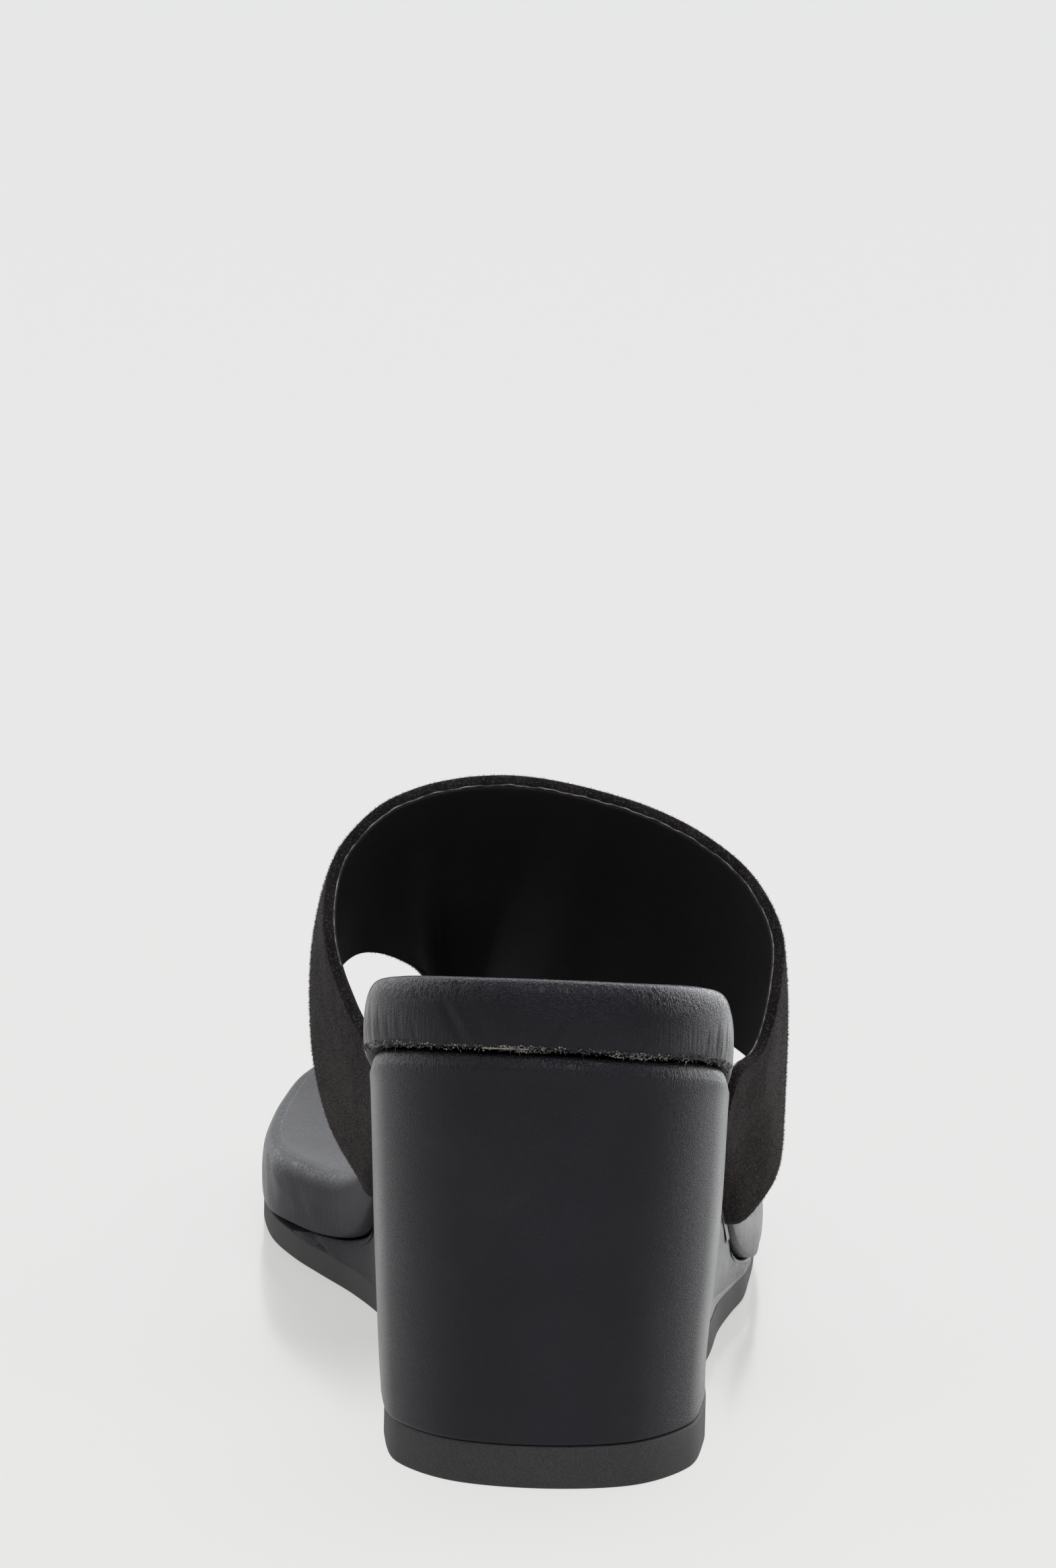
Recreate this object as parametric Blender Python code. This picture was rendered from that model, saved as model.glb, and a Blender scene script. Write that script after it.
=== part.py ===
"""Toe post wedge sandal, right shoe, at its real size (metres, +Z up, +Y to the toe, +X to the outer side).

A rubber outsole carries a leather-wrapped wedge. A padded footbed lies on both. A wide suede band comes out
of the seam between footbed and wedge on each side, crosses the instep and narrows to a tongue, which ends on
a rolled leather post that stands in the footbed between the first two toes.

All tables are in millimetres in the frame of the heel: x = 0 on the heel's centre line and y = 0 at the
rearmost point of the outsole. The empty "sandal" carries the pieces and moves the bottom centre of their box
to the origin.
"""

from collections import namedtuple

import bmesh
import bpy
import numpy as np
from mathutils import Vector

MM = 0.001
GAP = 0.3  # clearance between two pieces that meet
SEAT_GAP = 0.45  # the same, straight down, where the footbed slopes over the wedge

HEEL_CUP = 2.0  # depth of the dish that the heel sits in
TOE_DISH = 0.8
BAND_WALL = 2.4  # suede and lining together
SKIVED_WALL = 1.4  # the band's ends are pared down where they are glued in
POCKET_DEPTH = 3.1  # room in the wedge's top for the band's ends
POCKET_REACH = 9.6  # how far the pocket goes in from the footbed's side
POCKET_START = 62.0
POCKET_END = 99.5
POCKET_RAMP = 5.0

POST_X = -21.0
POST_HALF_WIDTH = 2.7
POST_HALF_LENGTH = 3.6
POST_SIDES = 20
SLOT_CLEARANCE = 0.45  # round the post, in the footbed

RUNG_STEPS = 4  # cross-sections between two rows of RUNGS
RIB_STEPS = 3  # strips between two ribs of the band
BAND_COLUMNS = 11  # points from the collar to the front edge

# One row for each rung across the foot, from the heel's back to the toe's tip. The outline is the footbed's
# side, medial and lateral. seat is the underside of the footbed, bed its thickness and lean how far the seat
# falls to the outer side for each mm of x. sole_top and ground bound the outsole, and the insets are how far
# the outsole stays inside the footbed's sides.
Rung = namedtuple(
    "Rung",
    "name medial_x medial_y lateral_x lateral_y seat bed lean sole_top ground medial_inset lateral_inset",
)
RUNGS = [
    Rung("heel back", 0.0, -5.0, 0.0, -5.0, 79.6, 12.9, 0.033, 7.7, 0.0, 4.9, 4.9),
    Rung("heel quarter", -18.4, -1.1, 17.8, -0.9, 78.2, 12.9, 0.033, 7.7, 0.0, 5.0, 4.7),
    Rung("heel corner", -30.5, 11.4, 28.7, 12.2, 74.7, 12.9, 0.033, 7.7, 0.0, 5.2, 4.2),
    Rung("heel seat", -33.3, 28.5, 31.1, 28.5, 68.8, 12.9, 0.033, 7.6, 0.0, 4.9, 3.3),
    Rung("heel breast", -32.4, 45.0, 31.0, 45.0, 61.6, 13.0, 0.025, 7.4, 0.0, 4.4, 3.0),
    Rung("shank", -30.2, 59.0, 29.6, 59.0, 53.4, 13.0, 0.012, 7.1, 0.0, 3.3, 2.4),
    Rung("waist", -29.3, 73.0, 29.3, 72.0, 43.6, 13.0, 0.0, 6.8, 0.0, 2.8, 1.7),
    Rung("waist front", -31.2, 88.0, 31.6, 86.0, 32.6, 12.9, 0.0, 6.0, 0.0, 3.4, 1.9),
    Rung("arch", -34.8, 104.0, 34.2, 100.5, 18.3, 12.8, 0.0, 5.5, 0.0, 4.2, 2.9),
    Rung("tread rear", -39.0, 119.0, 36.6, 112.5, 11.5, 12.7, 0.0, 5.3, 0.0, 2.9, 2.9),
    Rung("tread", -44.6, 132.5, 38.6, 123.0, 8.4, 12.6, 0.0, 5.2, 0.0, 1.9, 2.4),
    Rung("ball", -49.7, 144.2, 39.3, 133.5, 7.2, 12.6, 0.0, 5.1, 0.0, 1.5, 2.0),
    Rung("feather", -53.8, 157.5, 39.9, 146.0, 5.8, 12.6, 0.0, 4.9, 0.0, 1.1, 1.6),
    Rung("ball front", -55.3, 172.5, 39.7, 160.0, 5.1, 12.6, 0.0, 4.8, 0.0, 0.5, 1.0),
    Rung("toes rear", -54.8, 185.5, 38.3, 174.5, 5.1, 12.6, 0.0, 4.8, 0.0, 0.2, 0.4),
    Rung("toes", -53.2, 199.0, 34.6, 190.0, 5.5, 12.6, 0.0, 5.2, 0.4, 0.0, 0.0),
    Rung("toe corner", -49.9, 213.0, 27.5, 206.0, 6.6, 12.6, 0.0, 6.3, 1.5, -0.2, -0.3),
    Rung("toe quarter", -42.5, 226.0, 16.5, 220.5, 8.0, 12.6, 0.0, 7.7, 2.9, -0.4, -0.4),
    Rung("toe cap", -31.0, 234.3, 2.0, 231.5, 9.2, 12.6, 0.0, 8.9, 4.1, -0.5, -0.5),
    Rung("toe tip", -16.0, 237.5, -16.0, 237.5, 9.8, 12.6, 0.0, 9.5, 4.7, -0.5, -0.5),
]
WEDGE_FRONT = "ball"  # the wedge thins out to this rung

# Steps round the footbed's side, from its underside to its top: distance in, share of the thickness.
FOOTBED_EDGE = [
    (3.4, 0.0),
    (1.1, 0.03),
    (0.3, 0.13),
    (0.0, 0.32),
    (-0.1, 0.5),
    (0.0, 0.68),
    (0.25, 0.87),
    (1.0, 0.965),
    (3.4, 1.0),
]
BED_EVENS = 0.45  # share of the lean that the footbed's padding makes up for

# Steps up the wedge's side: share of the height, distance in on each side, height from that share.
WedgeStep = namedtuple("WedgeStep", "share medial_in lateral_in rise")
WEDGE_EDGE = [
    WedgeStep(0.0, 0.7, 1.3, 0.0),
    WedgeStep(0.0, -0.1, 0.6, 0.8),
    WedgeStep(0.0, -0.35, 0.6, 2.2),
    WedgeStep(0.2, -0.4, 0.65, 0.0),
    WedgeStep(0.32, -0.4, 0.35, 0.0),
    WedgeStep(0.5, -0.4, -0.1, 0.0),
    WedgeStep(0.7, -0.25, -0.2, 0.0),
    WedgeStep(1.0, 0.0, 0.0, -2.2),
    WedgeStep(1.0, 0.25, 0.25, -1.1),
    WedgeStep(1.0, 0.8, 0.8, -0.4),
    WedgeStep(1.0, 2.2, 2.2, 0.0),
]
WEDGE_TOP_INSET = (1.2, 0.5)  # the wedge's medial and lateral side under the footbed's sides
WEDGE_BACK_HALF = 22.0  # from the middle out to here, a medial value turns into a lateral one
WEDGE_OVERHANG = 0.4  # the wedge's side over the outsole's side
SHOULDER_SHARE = 0.25  # a shoulder takes at most this share of the wedge's height

# The band's ends in the seam, by where they lie from the footbed's side and seat: outward and below at the
# collar edge and at the front edge.
Tuck = namedtuple("Tuck", "name collar_out collar_below front_out front_below wall")
MEDIAL_TUCK = [
    Tuck("end", -8.6, 2.2, -8.6, 2.6, SKIVED_WALL),
    Tuck("under the footbed", -4.4, 2.2, -4.2, 2.6, SKIVED_WALL),
    Tuck("seam", 0.9, 1.3, 0.9, 1.8, 1.7),
]
LATERAL_TUCK = [
    Tuck("seam", 0.9, 1.3, 1.4, 2.8, 1.7),
    Tuck("under the footbed", -4.4, 2.2, -4.0, 2.7, SKIVED_WALL),
    Tuck("end", -8.6, 2.2, -8.6, 2.6, SKIVED_WALL),
]
TUCK_COLLAR_Y = 67.0
TUCK_FRONT_Y = 92.5

# The band's outer face over the instep: each rib runs from the collar edge to the front edge, and crown is
# how far it rises over the straight line between them.
Rib = namedtuple("Rib", "name collar_x collar_y collar_z front_x front_y front_z crown")
RIBS = [
    Rib("medial side", -32.5, 69.5, 50.5, -35.5, 95.5, 29.7, 0.3),
    Rib("medial rim", -33.6, 75.5, 58.0, -40.3, 104.0, 35.5, 0.8),
    Rib("medial low wall", -37.4, 80.5, 64.0, -43.3, 112.0, 42.0, 1.4),
    Rib("medial wall", -41.2, 87.0, 72.0, -45.0, 120.5, 50.5, 1.8),
    Rib("medial low haunch", -42.5, 93.7, 80.0, -43.6, 129.0, 58.5, 2.2),
    Rib("medial haunch", -40.6, 100.6, 88.6, -39.0, 135.5, 62.6, 2.6),
    Rib("big toe arch", -34.0, 106.5, 95.6, -32.6, 140.5, 61.7, 3.0),
    Rib("big toe arch end", -26.5, 109.8, 99.0, -26.0, 147.5, 56.0, 3.2),
    Rib("tongue medial", -19.0, 111.3, 100.7, -24.4, 163.0, 46.5, 3.0),
    Rib("tip medial", -12.5, 111.9, 101.3, -24.8, 187.5, 23.5, 2.4),
    Rib("tip lateral", -7.5, 111.9, 101.3, -17.0, 187.5, 23.5, 2.6),
    Rib("tongue lateral", -1.0, 111.4, 100.7, -10.8, 163.0, 46.0, 3.0),
    Rib("toes arch end", 8.0, 110.3, 99.0, -2.0, 151.5, 51.4, 3.4),
    Rib("toes arch", 17.5, 108.6, 96.4, 9.0, 146.5, 53.2, 3.4),
    Rib("lateral haunch", 27.0, 105.3, 92.3, 24.5, 138.0, 51.6, 3.0),
    Rib("lateral low haunch", 35.6, 100.0, 86.2, 36.0, 128.0, 47.6, 2.2),
    Rib("lateral wall", 40.9, 92.0, 77.4, 41.6, 117.5, 43.6, 1.2),
    Rib("lateral low wall", 40.3, 83.2, 67.2, 42.4, 107.0, 38.2, 0.5),
    Rib("lateral rim", 37.6, 76.8, 59.3, 41.4, 99.0, 31.6, 0.4),
    Rib("lateral side", 33.6, 70.3, 57.6, 38.0, 94.4, 26.6, 0.3),
]
NORMAL_PASSES = 8  # rounds that even out the band's wall directions
RIM_ROUNDING = 0.3  # how far the band's cut edges bulge, in walls

# The toe post's middle from the outsole up to the tongue, and how steeply its cross-section falls to the toe.
POST_PATH = [
    (186.0, 5.25, 0.0),
    (186.0, 11.0, 0.0),
    (185.9, 15.5, 0.15),
    (185.3, 19.2, 0.6),
    (184.6, 22.7, 1.0),
]

# Colour as linear RGB, then roughness
FINISHES = {
    "outsole": ((0.030, 0.030, 0.031), 0.75),
    "wedge": ((0.018, 0.019, 0.022), 0.45),
    "footbed": ((0.016, 0.017, 0.020), 0.48),
    "upper": ((0.021, 0.020, 0.019), 0.95),
    "toe_post": ((0.016, 0.017, 0.020), 0.50),
}


def clear_scene():
    for obj in list(bpy.data.objects):
        bpy.data.objects.remove(obj, do_unlink=True)


def catmull_rom(rows, steps):
    """A smooth run through rows, whose first and last rows only guide its ends."""
    rows = np.asarray(rows, float)
    out = []
    for before, start, end, after in zip(rows, rows[1:], rows[2:], rows[3:]):
        for share in np.arange(steps) / steps:
            out.append(
                0.5
                * (
                    2 * start
                    + (end - before) * share
                    + (2 * before - 5 * start + 4 * end - after) * share**2
                    + (3 * (start - end) + after - before) * share**3
                )
            )
    out.append(rows[-2])
    return np.array(out)


class Last:
    """The foot-shaped rungs, smoothed: their two sides and the heights of each."""

    def __init__(self):
        rows = [row[1:] for row in RUNGS]
        # The rung past each end is the one before it with its sides exchanged, so the outline closes evenly.
        rows = [self.swapped(rows[1])] + rows + [self.swapped(rows[-2])]
        rungs = catmull_rom(rows, RUNG_STEPS)
        self.medial, self.lateral = rungs[:, 0:2], rungs[:, 2:4]
        self.seat, self.bed, self.lean, self.sole_top = rungs[:, 4:8].T
        self.ground = np.maximum(rungs[:, 8], 0.0)
        self.sole_inset = rungs[:, 9:11].T

    @staticmethod
    def swapped(row):
        return row[2:4] + row[0:2] + row[4:9] + row[:8:-1]

    def sides(self, inset):
        """Medial and lateral points of every rung, moved in by one inset or by one for each side."""
        ring = np.concatenate([self.lateral, self.medial[-2:0:-1]])
        along = np.roll(ring, -1, axis=0) - np.roll(ring, 1, axis=0)
        inward = np.stack([-along[:, 1], along[:, 0]], axis=1)
        inward /= np.linalg.norm(inward, axis=1, keepdims=True)
        count = len(self.lateral)
        medial_inset, lateral_inset = np.broadcast_to(inset, (2, count))
        amount = np.concatenate([lateral_inset, medial_inset[-2:0:-1]])
        ring = ring + inward * amount[:, None]
        lateral = ring[:count]
        medial = np.concatenate([ring[:1], ring[:count - 2:-1]])
        return medial, lateral

    def height(self, heights, flat):
        """One of the rung heights at flat points: each point lies on a rung, or between two."""
        line = self.lateral - self.medial
        line[[0, -1]] = (1.0, 0.0)  # the heel's back and the toe's tip have no width
        line /= np.linalg.norm(line, axis=1, keepdims=True)
        reach = flat[:, None, :] - self.medial[None]
        ahead = line[:, 0] * reach[:, :, 1] - line[:, 1] * reach[:, :, 0]
        index = np.clip((ahead > 0).sum(axis=1) - 1, 0, len(line) - 2)
        rows = np.arange(len(flat))
        past, short = ahead[rows, index], -ahead[rows, index + 1]
        share = np.clip(past / (past + short), 0.0, 1.0)
        return heights[index] * (1 - share) + heights[index + 1] * share

    def seat_height(self, flat):
        """The footbed's underside at flat points, with the seat's lean to the outer side."""
        return self.height(self.seat, flat) - self.height(self.lean, flat) * flat[:, 0]

    def bed_height(self, flat):
        """The footbed's thickness at flat points."""
        return self.height(self.bed, flat) + BED_EVENS * self.height(self.lean, flat) * flat[:, 0]

    def at(self, side, y):
        """x of the footbed's side where the outline passes y, between the heel seat and the ball."""
        outline = self.medial if side < 0 else self.lateral
        span = slice(rung_index("heel seat"), rung_index("ball front") + 1)
        return np.interp(y, outline[span, 1], outline[span, 0])


def rung_index(name):
    return [row.name for row in RUNGS].index(name) * RUNG_STEPS


def unit(vectors):
    return vectors / np.linalg.norm(vectors, axis=-1, keepdims=True)


def points(flat, height):
    return np.column_stack([flat, np.broadcast_to(height, len(flat))])


def across(medial, lateral, shares):
    """Points between the two sides of each rung, shape (rungs, shares, 3)."""
    shares = np.asarray(shares)[None, :, None]
    return medial[:, None, :] * (1 - shares) + lateral[:, None, :] * shares


def rung_loops(rings, bottom, top):
    """Closed loops round each rung: down the medial side, across the bottom, up the lateral side, and back.

    The count of rings is odd, so that a loop's first point and its opposite one lie halfway up the two sides.
    """
    medial = np.stack([ring[0] for ring in rings], axis=1)
    lateral = np.stack([ring[1] for ring in rings], axis=1)
    middle = len(rings) // 2
    return np.concatenate(
        [medial[:, middle::-1], bottom, lateral, top[:, ::-1], medial[:, :middle:-1]],
        axis=1,
    )


def loft(name, loops, start_cap=False, end_cap=False):
    """A closed solid through loops of equal length. A loop that has collapsed onto a line needs no cap."""
    mesh = bpy.data.meshes.new(name)
    solid = bmesh.new()
    grid = [[solid.verts.new(Vector(point) * MM) for point in loop] for loop in loops]
    size = len(grid[0])
    for first, second in zip(grid, grid[1:]):
        for i in range(size):
            j = (i + 1) % size
            solid.faces.new([first[i], first[j], second[j], second[i]])
    for loop in grid[:1] * start_cap + grid[-1:] * end_cap:
        for i in range(size // 2):
            corners = [loop[i], loop[i + 1], loop[(size - i - 1) % size], loop[(size - i) % size]]
            solid.faces.new(list(dict.fromkeys(corners)))
    bmesh.ops.remove_doubles(solid, verts=solid.verts, dist=0.01 * MM)
    bmesh.ops.recalc_face_normals(solid, faces=solid.faces)
    solid.to_mesh(mesh)
    solid.free()
    mesh.shade_smooth()
    obj = bpy.data.objects.new(name, mesh)
    bpy.context.scene.collection.objects.link(obj)
    return obj


def finish(obj, parent):
    colour, roughness = FINISHES[obj.name]
    material = bpy.data.materials.new(obj.name)
    material.use_nodes = True
    shader = material.node_tree.nodes["Principled BSDF"]
    shader.inputs["Base Color"].default_value = (*colour, 1.0)
    shader.inputs["Roughness"].default_value = roughness
    shader.inputs["Metallic"].default_value = 0.0
    obj.data.materials.append(material)
    obj.data.set_sharp_from_angle(angle=np.radians(40))
    obj.parent = parent


def outsole(last):
    """A rubber slab, thick under the heel, thin under the ball, sprung at the toe, with softened edges."""
    edge = [(0.6, 0.0, 0.0), (0.0, 0.0, 0.6), (0.0, 0.5, 0.0), (0.0, 1.0, -0.4), (0.5, 1.0, 0.0)]
    rings = []
    for inward, share, rise in edge:
        ring = []
        for side in last.sides(last.sole_inset + inward):
            ground, top = last.height(last.ground, side), last.height(last.sole_top, side)
            ring.append(points(side, ground + share * (top - ground) + rise))
        rings.append(ring)
    shares = [0.25, 0.5, 0.75]
    bottom = across(*rings[0], shares)
    top = across(*rings[-1], shares)
    return loft("outsole", rung_loops(rings, bottom, top))


def pocket(last):
    """Depth of the wedge's pocket at each rung, for each side: full over the band's ends, then ramped out."""
    depths = []
    for outline in (last.medial, last.lateral):
        y = outline[:, 1]
        inside = np.minimum(y - POCKET_START, POCKET_END - y) / POCKET_RAMP
        depths.append(POCKET_DEPTH * np.clip(inside, 0.0, 1.0))
    return depths


def between_sides(last, medial, lateral):
    """A value for each side of each rung: medial, lateral, or between the two round the heel's back."""
    x = np.stack([last.medial[:, 0], last.lateral[:, 0]])
    return medial + (lateral - medial) * (0.5 + 0.5 * np.clip(x / WEDGE_BACK_HALF, -1.0, 1.0))


def wedge(last):
    """The leather-wrapped wedge between outsole and footbed, with rounded shoulders, thin at the ball."""
    count = rung_index(WEDGE_FRONT) + 1
    pockets = pocket(last)
    thickness = last.seat - last.sole_top - GAP - SEAT_GAP
    size = np.minimum(1.0, SHOULDER_SHARE * thickness / 4.0)
    base = last.sole_inset - WEDGE_OVERHANG
    narrowing = between_sides(last, *WEDGE_TOP_INSET) - base
    rings = []
    for step in WEDGE_EDGE:
        step_in = between_sides(last, step.medial_in, step.lateral_in)
        inset = base + (step.share * narrowing + step_in) * size
        ring = []
        for side, depth in zip(last.sides(inset), pockets):
            low, high = last.height(last.sole_top, side) + GAP, last.seat_height(side) - SEAT_GAP
            lowered = depth if step.share == 1.0 else 0.0
            ring.append(points(side, low + step.share * (high - low) + step.rise * size - lowered))
        rings.append(ring)
    bottom = across(*rings[0], [0.08, 0.2, 0.35, 0.5, 0.65, 0.8, 0.92])
    floor = [
        points(side, last.seat_height(side) - SEAT_GAP - depth)
        for side, depth in zip(last.sides(POCKET_REACH), pockets)
    ]
    plain = [points(side, last.seat_height(side) - SEAT_GAP) for side in last.sides(POCKET_REACH + 1.5)]
    middle = across(*plain, [0.25, 0.5, 0.75])
    top = [floor[0][:, None], plain[0][:, None], middle, plain[1][:, None], floor[1][:, None]]
    loops = rung_loops(rings, bottom, np.concatenate(top, axis=1))
    return loft("wedge", loops[:count], end_cap=True)


def footbed(last):
    """The padded footbed: rounded sides and a top that is dished for the heel and, less, for the toes."""
    rings = []
    for inward, share in FOOTBED_EDGE:
        ring = []
        for side in last.sides(inward):
            ring.append(points(side, last.seat_height(side) + share * last.bed_height(side)))
        rings.append(ring)
    shares = np.array([0.08, 0.2, 0.35, 0.5, 0.65, 0.8, 0.92])
    top = across(*rings[-1], shares)
    forward = np.linspace(0.0, 1.0, len(last.seat))
    heel_weight = np.clip(1.0 - forward / 0.5, 0.0, 1.0) ** 0.5
    depth = TOE_DISH + (HEEL_CUP - TOE_DISH) * heel_weight
    bowl = 1.0 - (2.0 * shares - 1.0) ** 2
    width = np.linalg.norm(rings[-1][1] - rings[-1][0], axis=1)
    depth = depth * np.clip(width / 40.0, 0.0, 1.0)
    top[:, :, 2] -= depth[:, None] * bowl[None, :]
    bottom = across(*rings[0], shares)
    return loft("footbed", rung_loops(rings, bottom, top))


def tuck_rib(last, row, side):
    """Outer points of one rib of the band's end, which follows the footbed's side and seat."""
    share = np.linspace(0.0, 1.0, BAND_COLUMNS)
    y = TUCK_COLLAR_Y + share * (TUCK_FRONT_Y - TUCK_COLLAR_Y)
    x = last.at(side, y)
    outward = row.collar_out + share * (row.front_out - row.collar_out)
    below = row.collar_below + share * (row.front_below - row.collar_below)
    flat = np.column_stack([x + side * outward, y])
    return points(flat, last.seat_height(flat) - below)


def wall_rib(row):
    """Outer points of one rib over the instep, crowned away from the foot."""
    start = np.array([row.collar_x, row.collar_y, row.collar_z])
    end = np.array([row.front_x, row.front_y, row.front_z])
    share = np.linspace(0.0, 1.0, BAND_COLUMNS)[:, None]
    line = end - start
    # Away from the foot's core line, square to the rib.
    core = np.array([0.0, (start[1] + end[1]) / 2 - 18.0, 30.0])
    away = (start + end) / 2 - core
    away -= line * away.dot(line) / line.dot(line)
    away /= np.linalg.norm(away)
    return start + line * share + away * row.crown * 4 * share * (1 - share)


def upper(last):
    """The suede band as one hollow solid: outer face, lining face, rounded cut edges and skived ends."""
    ribs = [tuck_rib(last, row, -1) for row in MEDIAL_TUCK]
    walls = [row.wall for row in MEDIAL_TUCK]
    ribs += [wall_rib(row) for row in RIBS]
    walls += [BAND_WALL] * len(RIBS)
    ribs += [tuck_rib(last, row, 1) for row in LATERAL_TUCK]
    walls += [row.wall for row in LATERAL_TUCK]
    ribs = [2 * ribs[0] - ribs[1]] + ribs + [2 * ribs[-1] - ribs[-2]]
    outer = catmull_rom(np.array(ribs), RIB_STEPS)
    wall = catmull_rom(np.array([walls[0]] + walls + [walls[-1]])[:, None], RIB_STEPS)[:, 0]
    inward = unit(np.cross(np.gradient(outer, axis=1), np.gradient(outer, axis=0)))
    # Evened out, so that the wall doesn't fold where ribs crowd together at the tongue.
    for _ in range(NORMAL_PASSES):
        padded = np.pad(inward, ((1, 1), (1, 1), (0, 0)), mode="edge")
        inward = unit(padded[:-2, 1:-1] + padded[2:, 1:-1] + padded[1:-1, :-2] + padded[1:-1, 2:] + inward)
    inner = outer + inward * wall[:, None, None]
    rim = RIM_ROUNDING * wall[:, None]
    back = unit(outer[:, 0] - outer[:, 1])
    front = unit(outer[:, -1] - outer[:, -2])
    collar_rim = (outer[:, 0] + inner[:, 0]) / 2 + back * rim
    front_rim = (outer[:, -1] + inner[:, -1]) / 2 + front * rim
    loops = np.concatenate([collar_rim[:, None], outer, front_rim[:, None], inner[:, ::-1]], axis=1)
    return loft("upper", loops, start_cap=True, end_cap=True)


def post_loops(path, clearance):
    """Ovals across the toe post's path, each tilted by its own slope."""
    angles = np.linspace(0.0, 2 * np.pi, POST_SIDES, endpoint=False)
    x = POST_X + (POST_HALF_WIDTH + clearance) * np.cos(angles)
    ahead = (POST_HALF_LENGTH + clearance) * np.sin(angles)
    return [np.column_stack([x, y + ahead, z - slope * ahead]) for y, z, slope in path]


def toe_post():
    """The rolled leather post, from the outsole through the footbed to the underside of the tongue."""
    return loft("toe_post", post_loops(POST_PATH, 0.0), start_cap=True, end_cap=True)


def cut_slot(footbed_obj, parent):
    """The slot in the footbed that the toe post stands in."""
    foot, _, _ = POST_PATH[0]
    path = [(foot, 2.0, 0.0), (foot, 24.0, 0.0)]
    cutter = loft("slot_cutter", post_loops(path, SLOT_CLEARANCE), start_cap=True, end_cap=True)
    cutter.hide_render = True
    cutter.display_type = "WIRE"
    cutter.parent = parent
    slot = footbed_obj.modifiers.new("slot", "BOOLEAN")
    slot.operation = "DIFFERENCE"
    slot.solver = "EXACT"
    slot.object = cutter


def centre_on_origin(parent, pieces):
    """Moves the parent so that the bottom centre of the pieces' box is the origin."""
    corners = np.array([vertex.co for piece in pieces for vertex in piece.data.vertices])
    low, high = corners.min(axis=0), corners.max(axis=0)
    parent.location = (-(low[0] + high[0]) / 2, -(low[1] + high[1]) / 2, -low[2])


def main():
    clear_scene()
    last = Last()
    parent = bpy.data.objects.new("sandal", None)
    bpy.context.scene.collection.objects.link(parent)
    bed = footbed(last)
    pieces = [outsole(last), wedge(last), bed, upper(last), toe_post()]
    for piece in pieces:
        finish(piece, parent)
    cut_slot(bed, parent)
    centre_on_origin(parent, pieces)


main()
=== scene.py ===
# %% [markdown]
# # A toe post wedge sandal
#
# This lesson dresses a right sandal that a CAD model has already given its size: a rubber outsole, a wedge
# and a padded footbed wrapped in black leather, and a suede band that crosses the instep and narrows to a
# tongue between the first two toes. Each step says what the piece is on a real sandal, how it could be made
# in Blender and why one way was chosen. The CAD solids stay underneath for the physics, and every piece made
# here stands for one of them.

from math import radians
from collections import namedtuple

import bmesh
import bpy
import numpy as np
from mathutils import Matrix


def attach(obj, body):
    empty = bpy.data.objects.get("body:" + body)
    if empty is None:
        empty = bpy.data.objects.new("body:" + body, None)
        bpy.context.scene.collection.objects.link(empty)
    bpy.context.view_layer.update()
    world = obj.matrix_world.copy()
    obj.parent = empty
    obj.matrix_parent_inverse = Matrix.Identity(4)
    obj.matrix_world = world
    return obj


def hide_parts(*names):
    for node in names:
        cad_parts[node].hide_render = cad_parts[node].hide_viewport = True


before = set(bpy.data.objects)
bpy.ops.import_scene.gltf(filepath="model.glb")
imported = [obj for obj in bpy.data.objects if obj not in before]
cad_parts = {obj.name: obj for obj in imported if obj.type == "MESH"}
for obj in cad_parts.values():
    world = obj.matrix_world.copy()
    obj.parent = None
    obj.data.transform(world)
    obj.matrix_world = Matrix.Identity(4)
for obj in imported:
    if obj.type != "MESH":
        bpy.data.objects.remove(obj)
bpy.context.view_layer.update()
MM = 0.001
print("solids:", sorted(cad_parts))

# %% [markdown]
# ## The camera
#
# The photograph looks along the foot from behind with a long lens, a little down and a little rolled. A
# camera could be placed by eye, but the shoe's round underside and the two sides of its sole on the floor fix
# it well, so its place, angles and focal length are plain numbers here. The lens has no shift and no depth of
# field.

# %% Camera
CAMERA_PLACE = (0.00643, -1.64654, 0.46779)
CAMERA_ANGLES = (77.371, -1.255, 0.489)  # degrees about X, Y and Z
CAMERA_LENS = 211.6

camera_data = bpy.data.cameras.new("camera")
camera_data.lens = CAMERA_LENS
camera_data.sensor_width = 36.0
camera_data.clip_start = 0.05
camera_data.clip_end = 50.0
camera = bpy.data.objects.new("camera", camera_data)
camera.location = CAMERA_PLACE
camera.rotation_euler = [radians(angle) for angle in CAMERA_ANGLES]
bpy.context.scene.collection.objects.link(camera)
bpy.context.scene.camera = camera
print("camera looks down", round(90 - CAMERA_ANGLES[0], 1), "degrees at the middle of the picture")

# %% [markdown]
# ## Small helpers for nodes
#
# Worlds, materials and geometry trees are all graphs of nodes. One helper adds a node and fills its sockets,
# another starts a group with named inputs and outputs. That keeps every recipe below short enough to read.

# %% Node helpers
def place(tree, kind, sockets=None, **settings):
    """Adds a node. A socket takes a plain value or another node's output."""
    made = tree.nodes.new(kind)
    for key, value in settings.items():
        setattr(made, key, value)
    for key, value in (sockets or {}).items():
        if isinstance(value, bpy.types.NodeSocket):
            tree.links.new(value, made.inputs[key])
        else:
            made.inputs[key].default_value = value
    return made


def new_group(name, kind, inputs, outputs):
    """A node group with named sockets, and the sockets to build from."""
    tree = bpy.data.node_groups.new(name, kind)
    for label, socket_kind, value in inputs:
        socket = tree.interface.new_socket(label, in_out="INPUT", socket_type=socket_kind)
        if value is not None:
            socket.default_value = value
    for label, socket_kind in outputs:
        tree.interface.new_socket(label, in_out="OUTPUT", socket_type=socket_kind)
    return tree, tree.nodes.new("NodeGroupInput").outputs, tree.nodes.new("NodeGroupOutput").inputs


def math(tree, operation, *values):
    """A Math node's output."""
    return place(tree, "ShaderNodeMath", dict(enumerate(values)), operation=operation).outputs[0]


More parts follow.
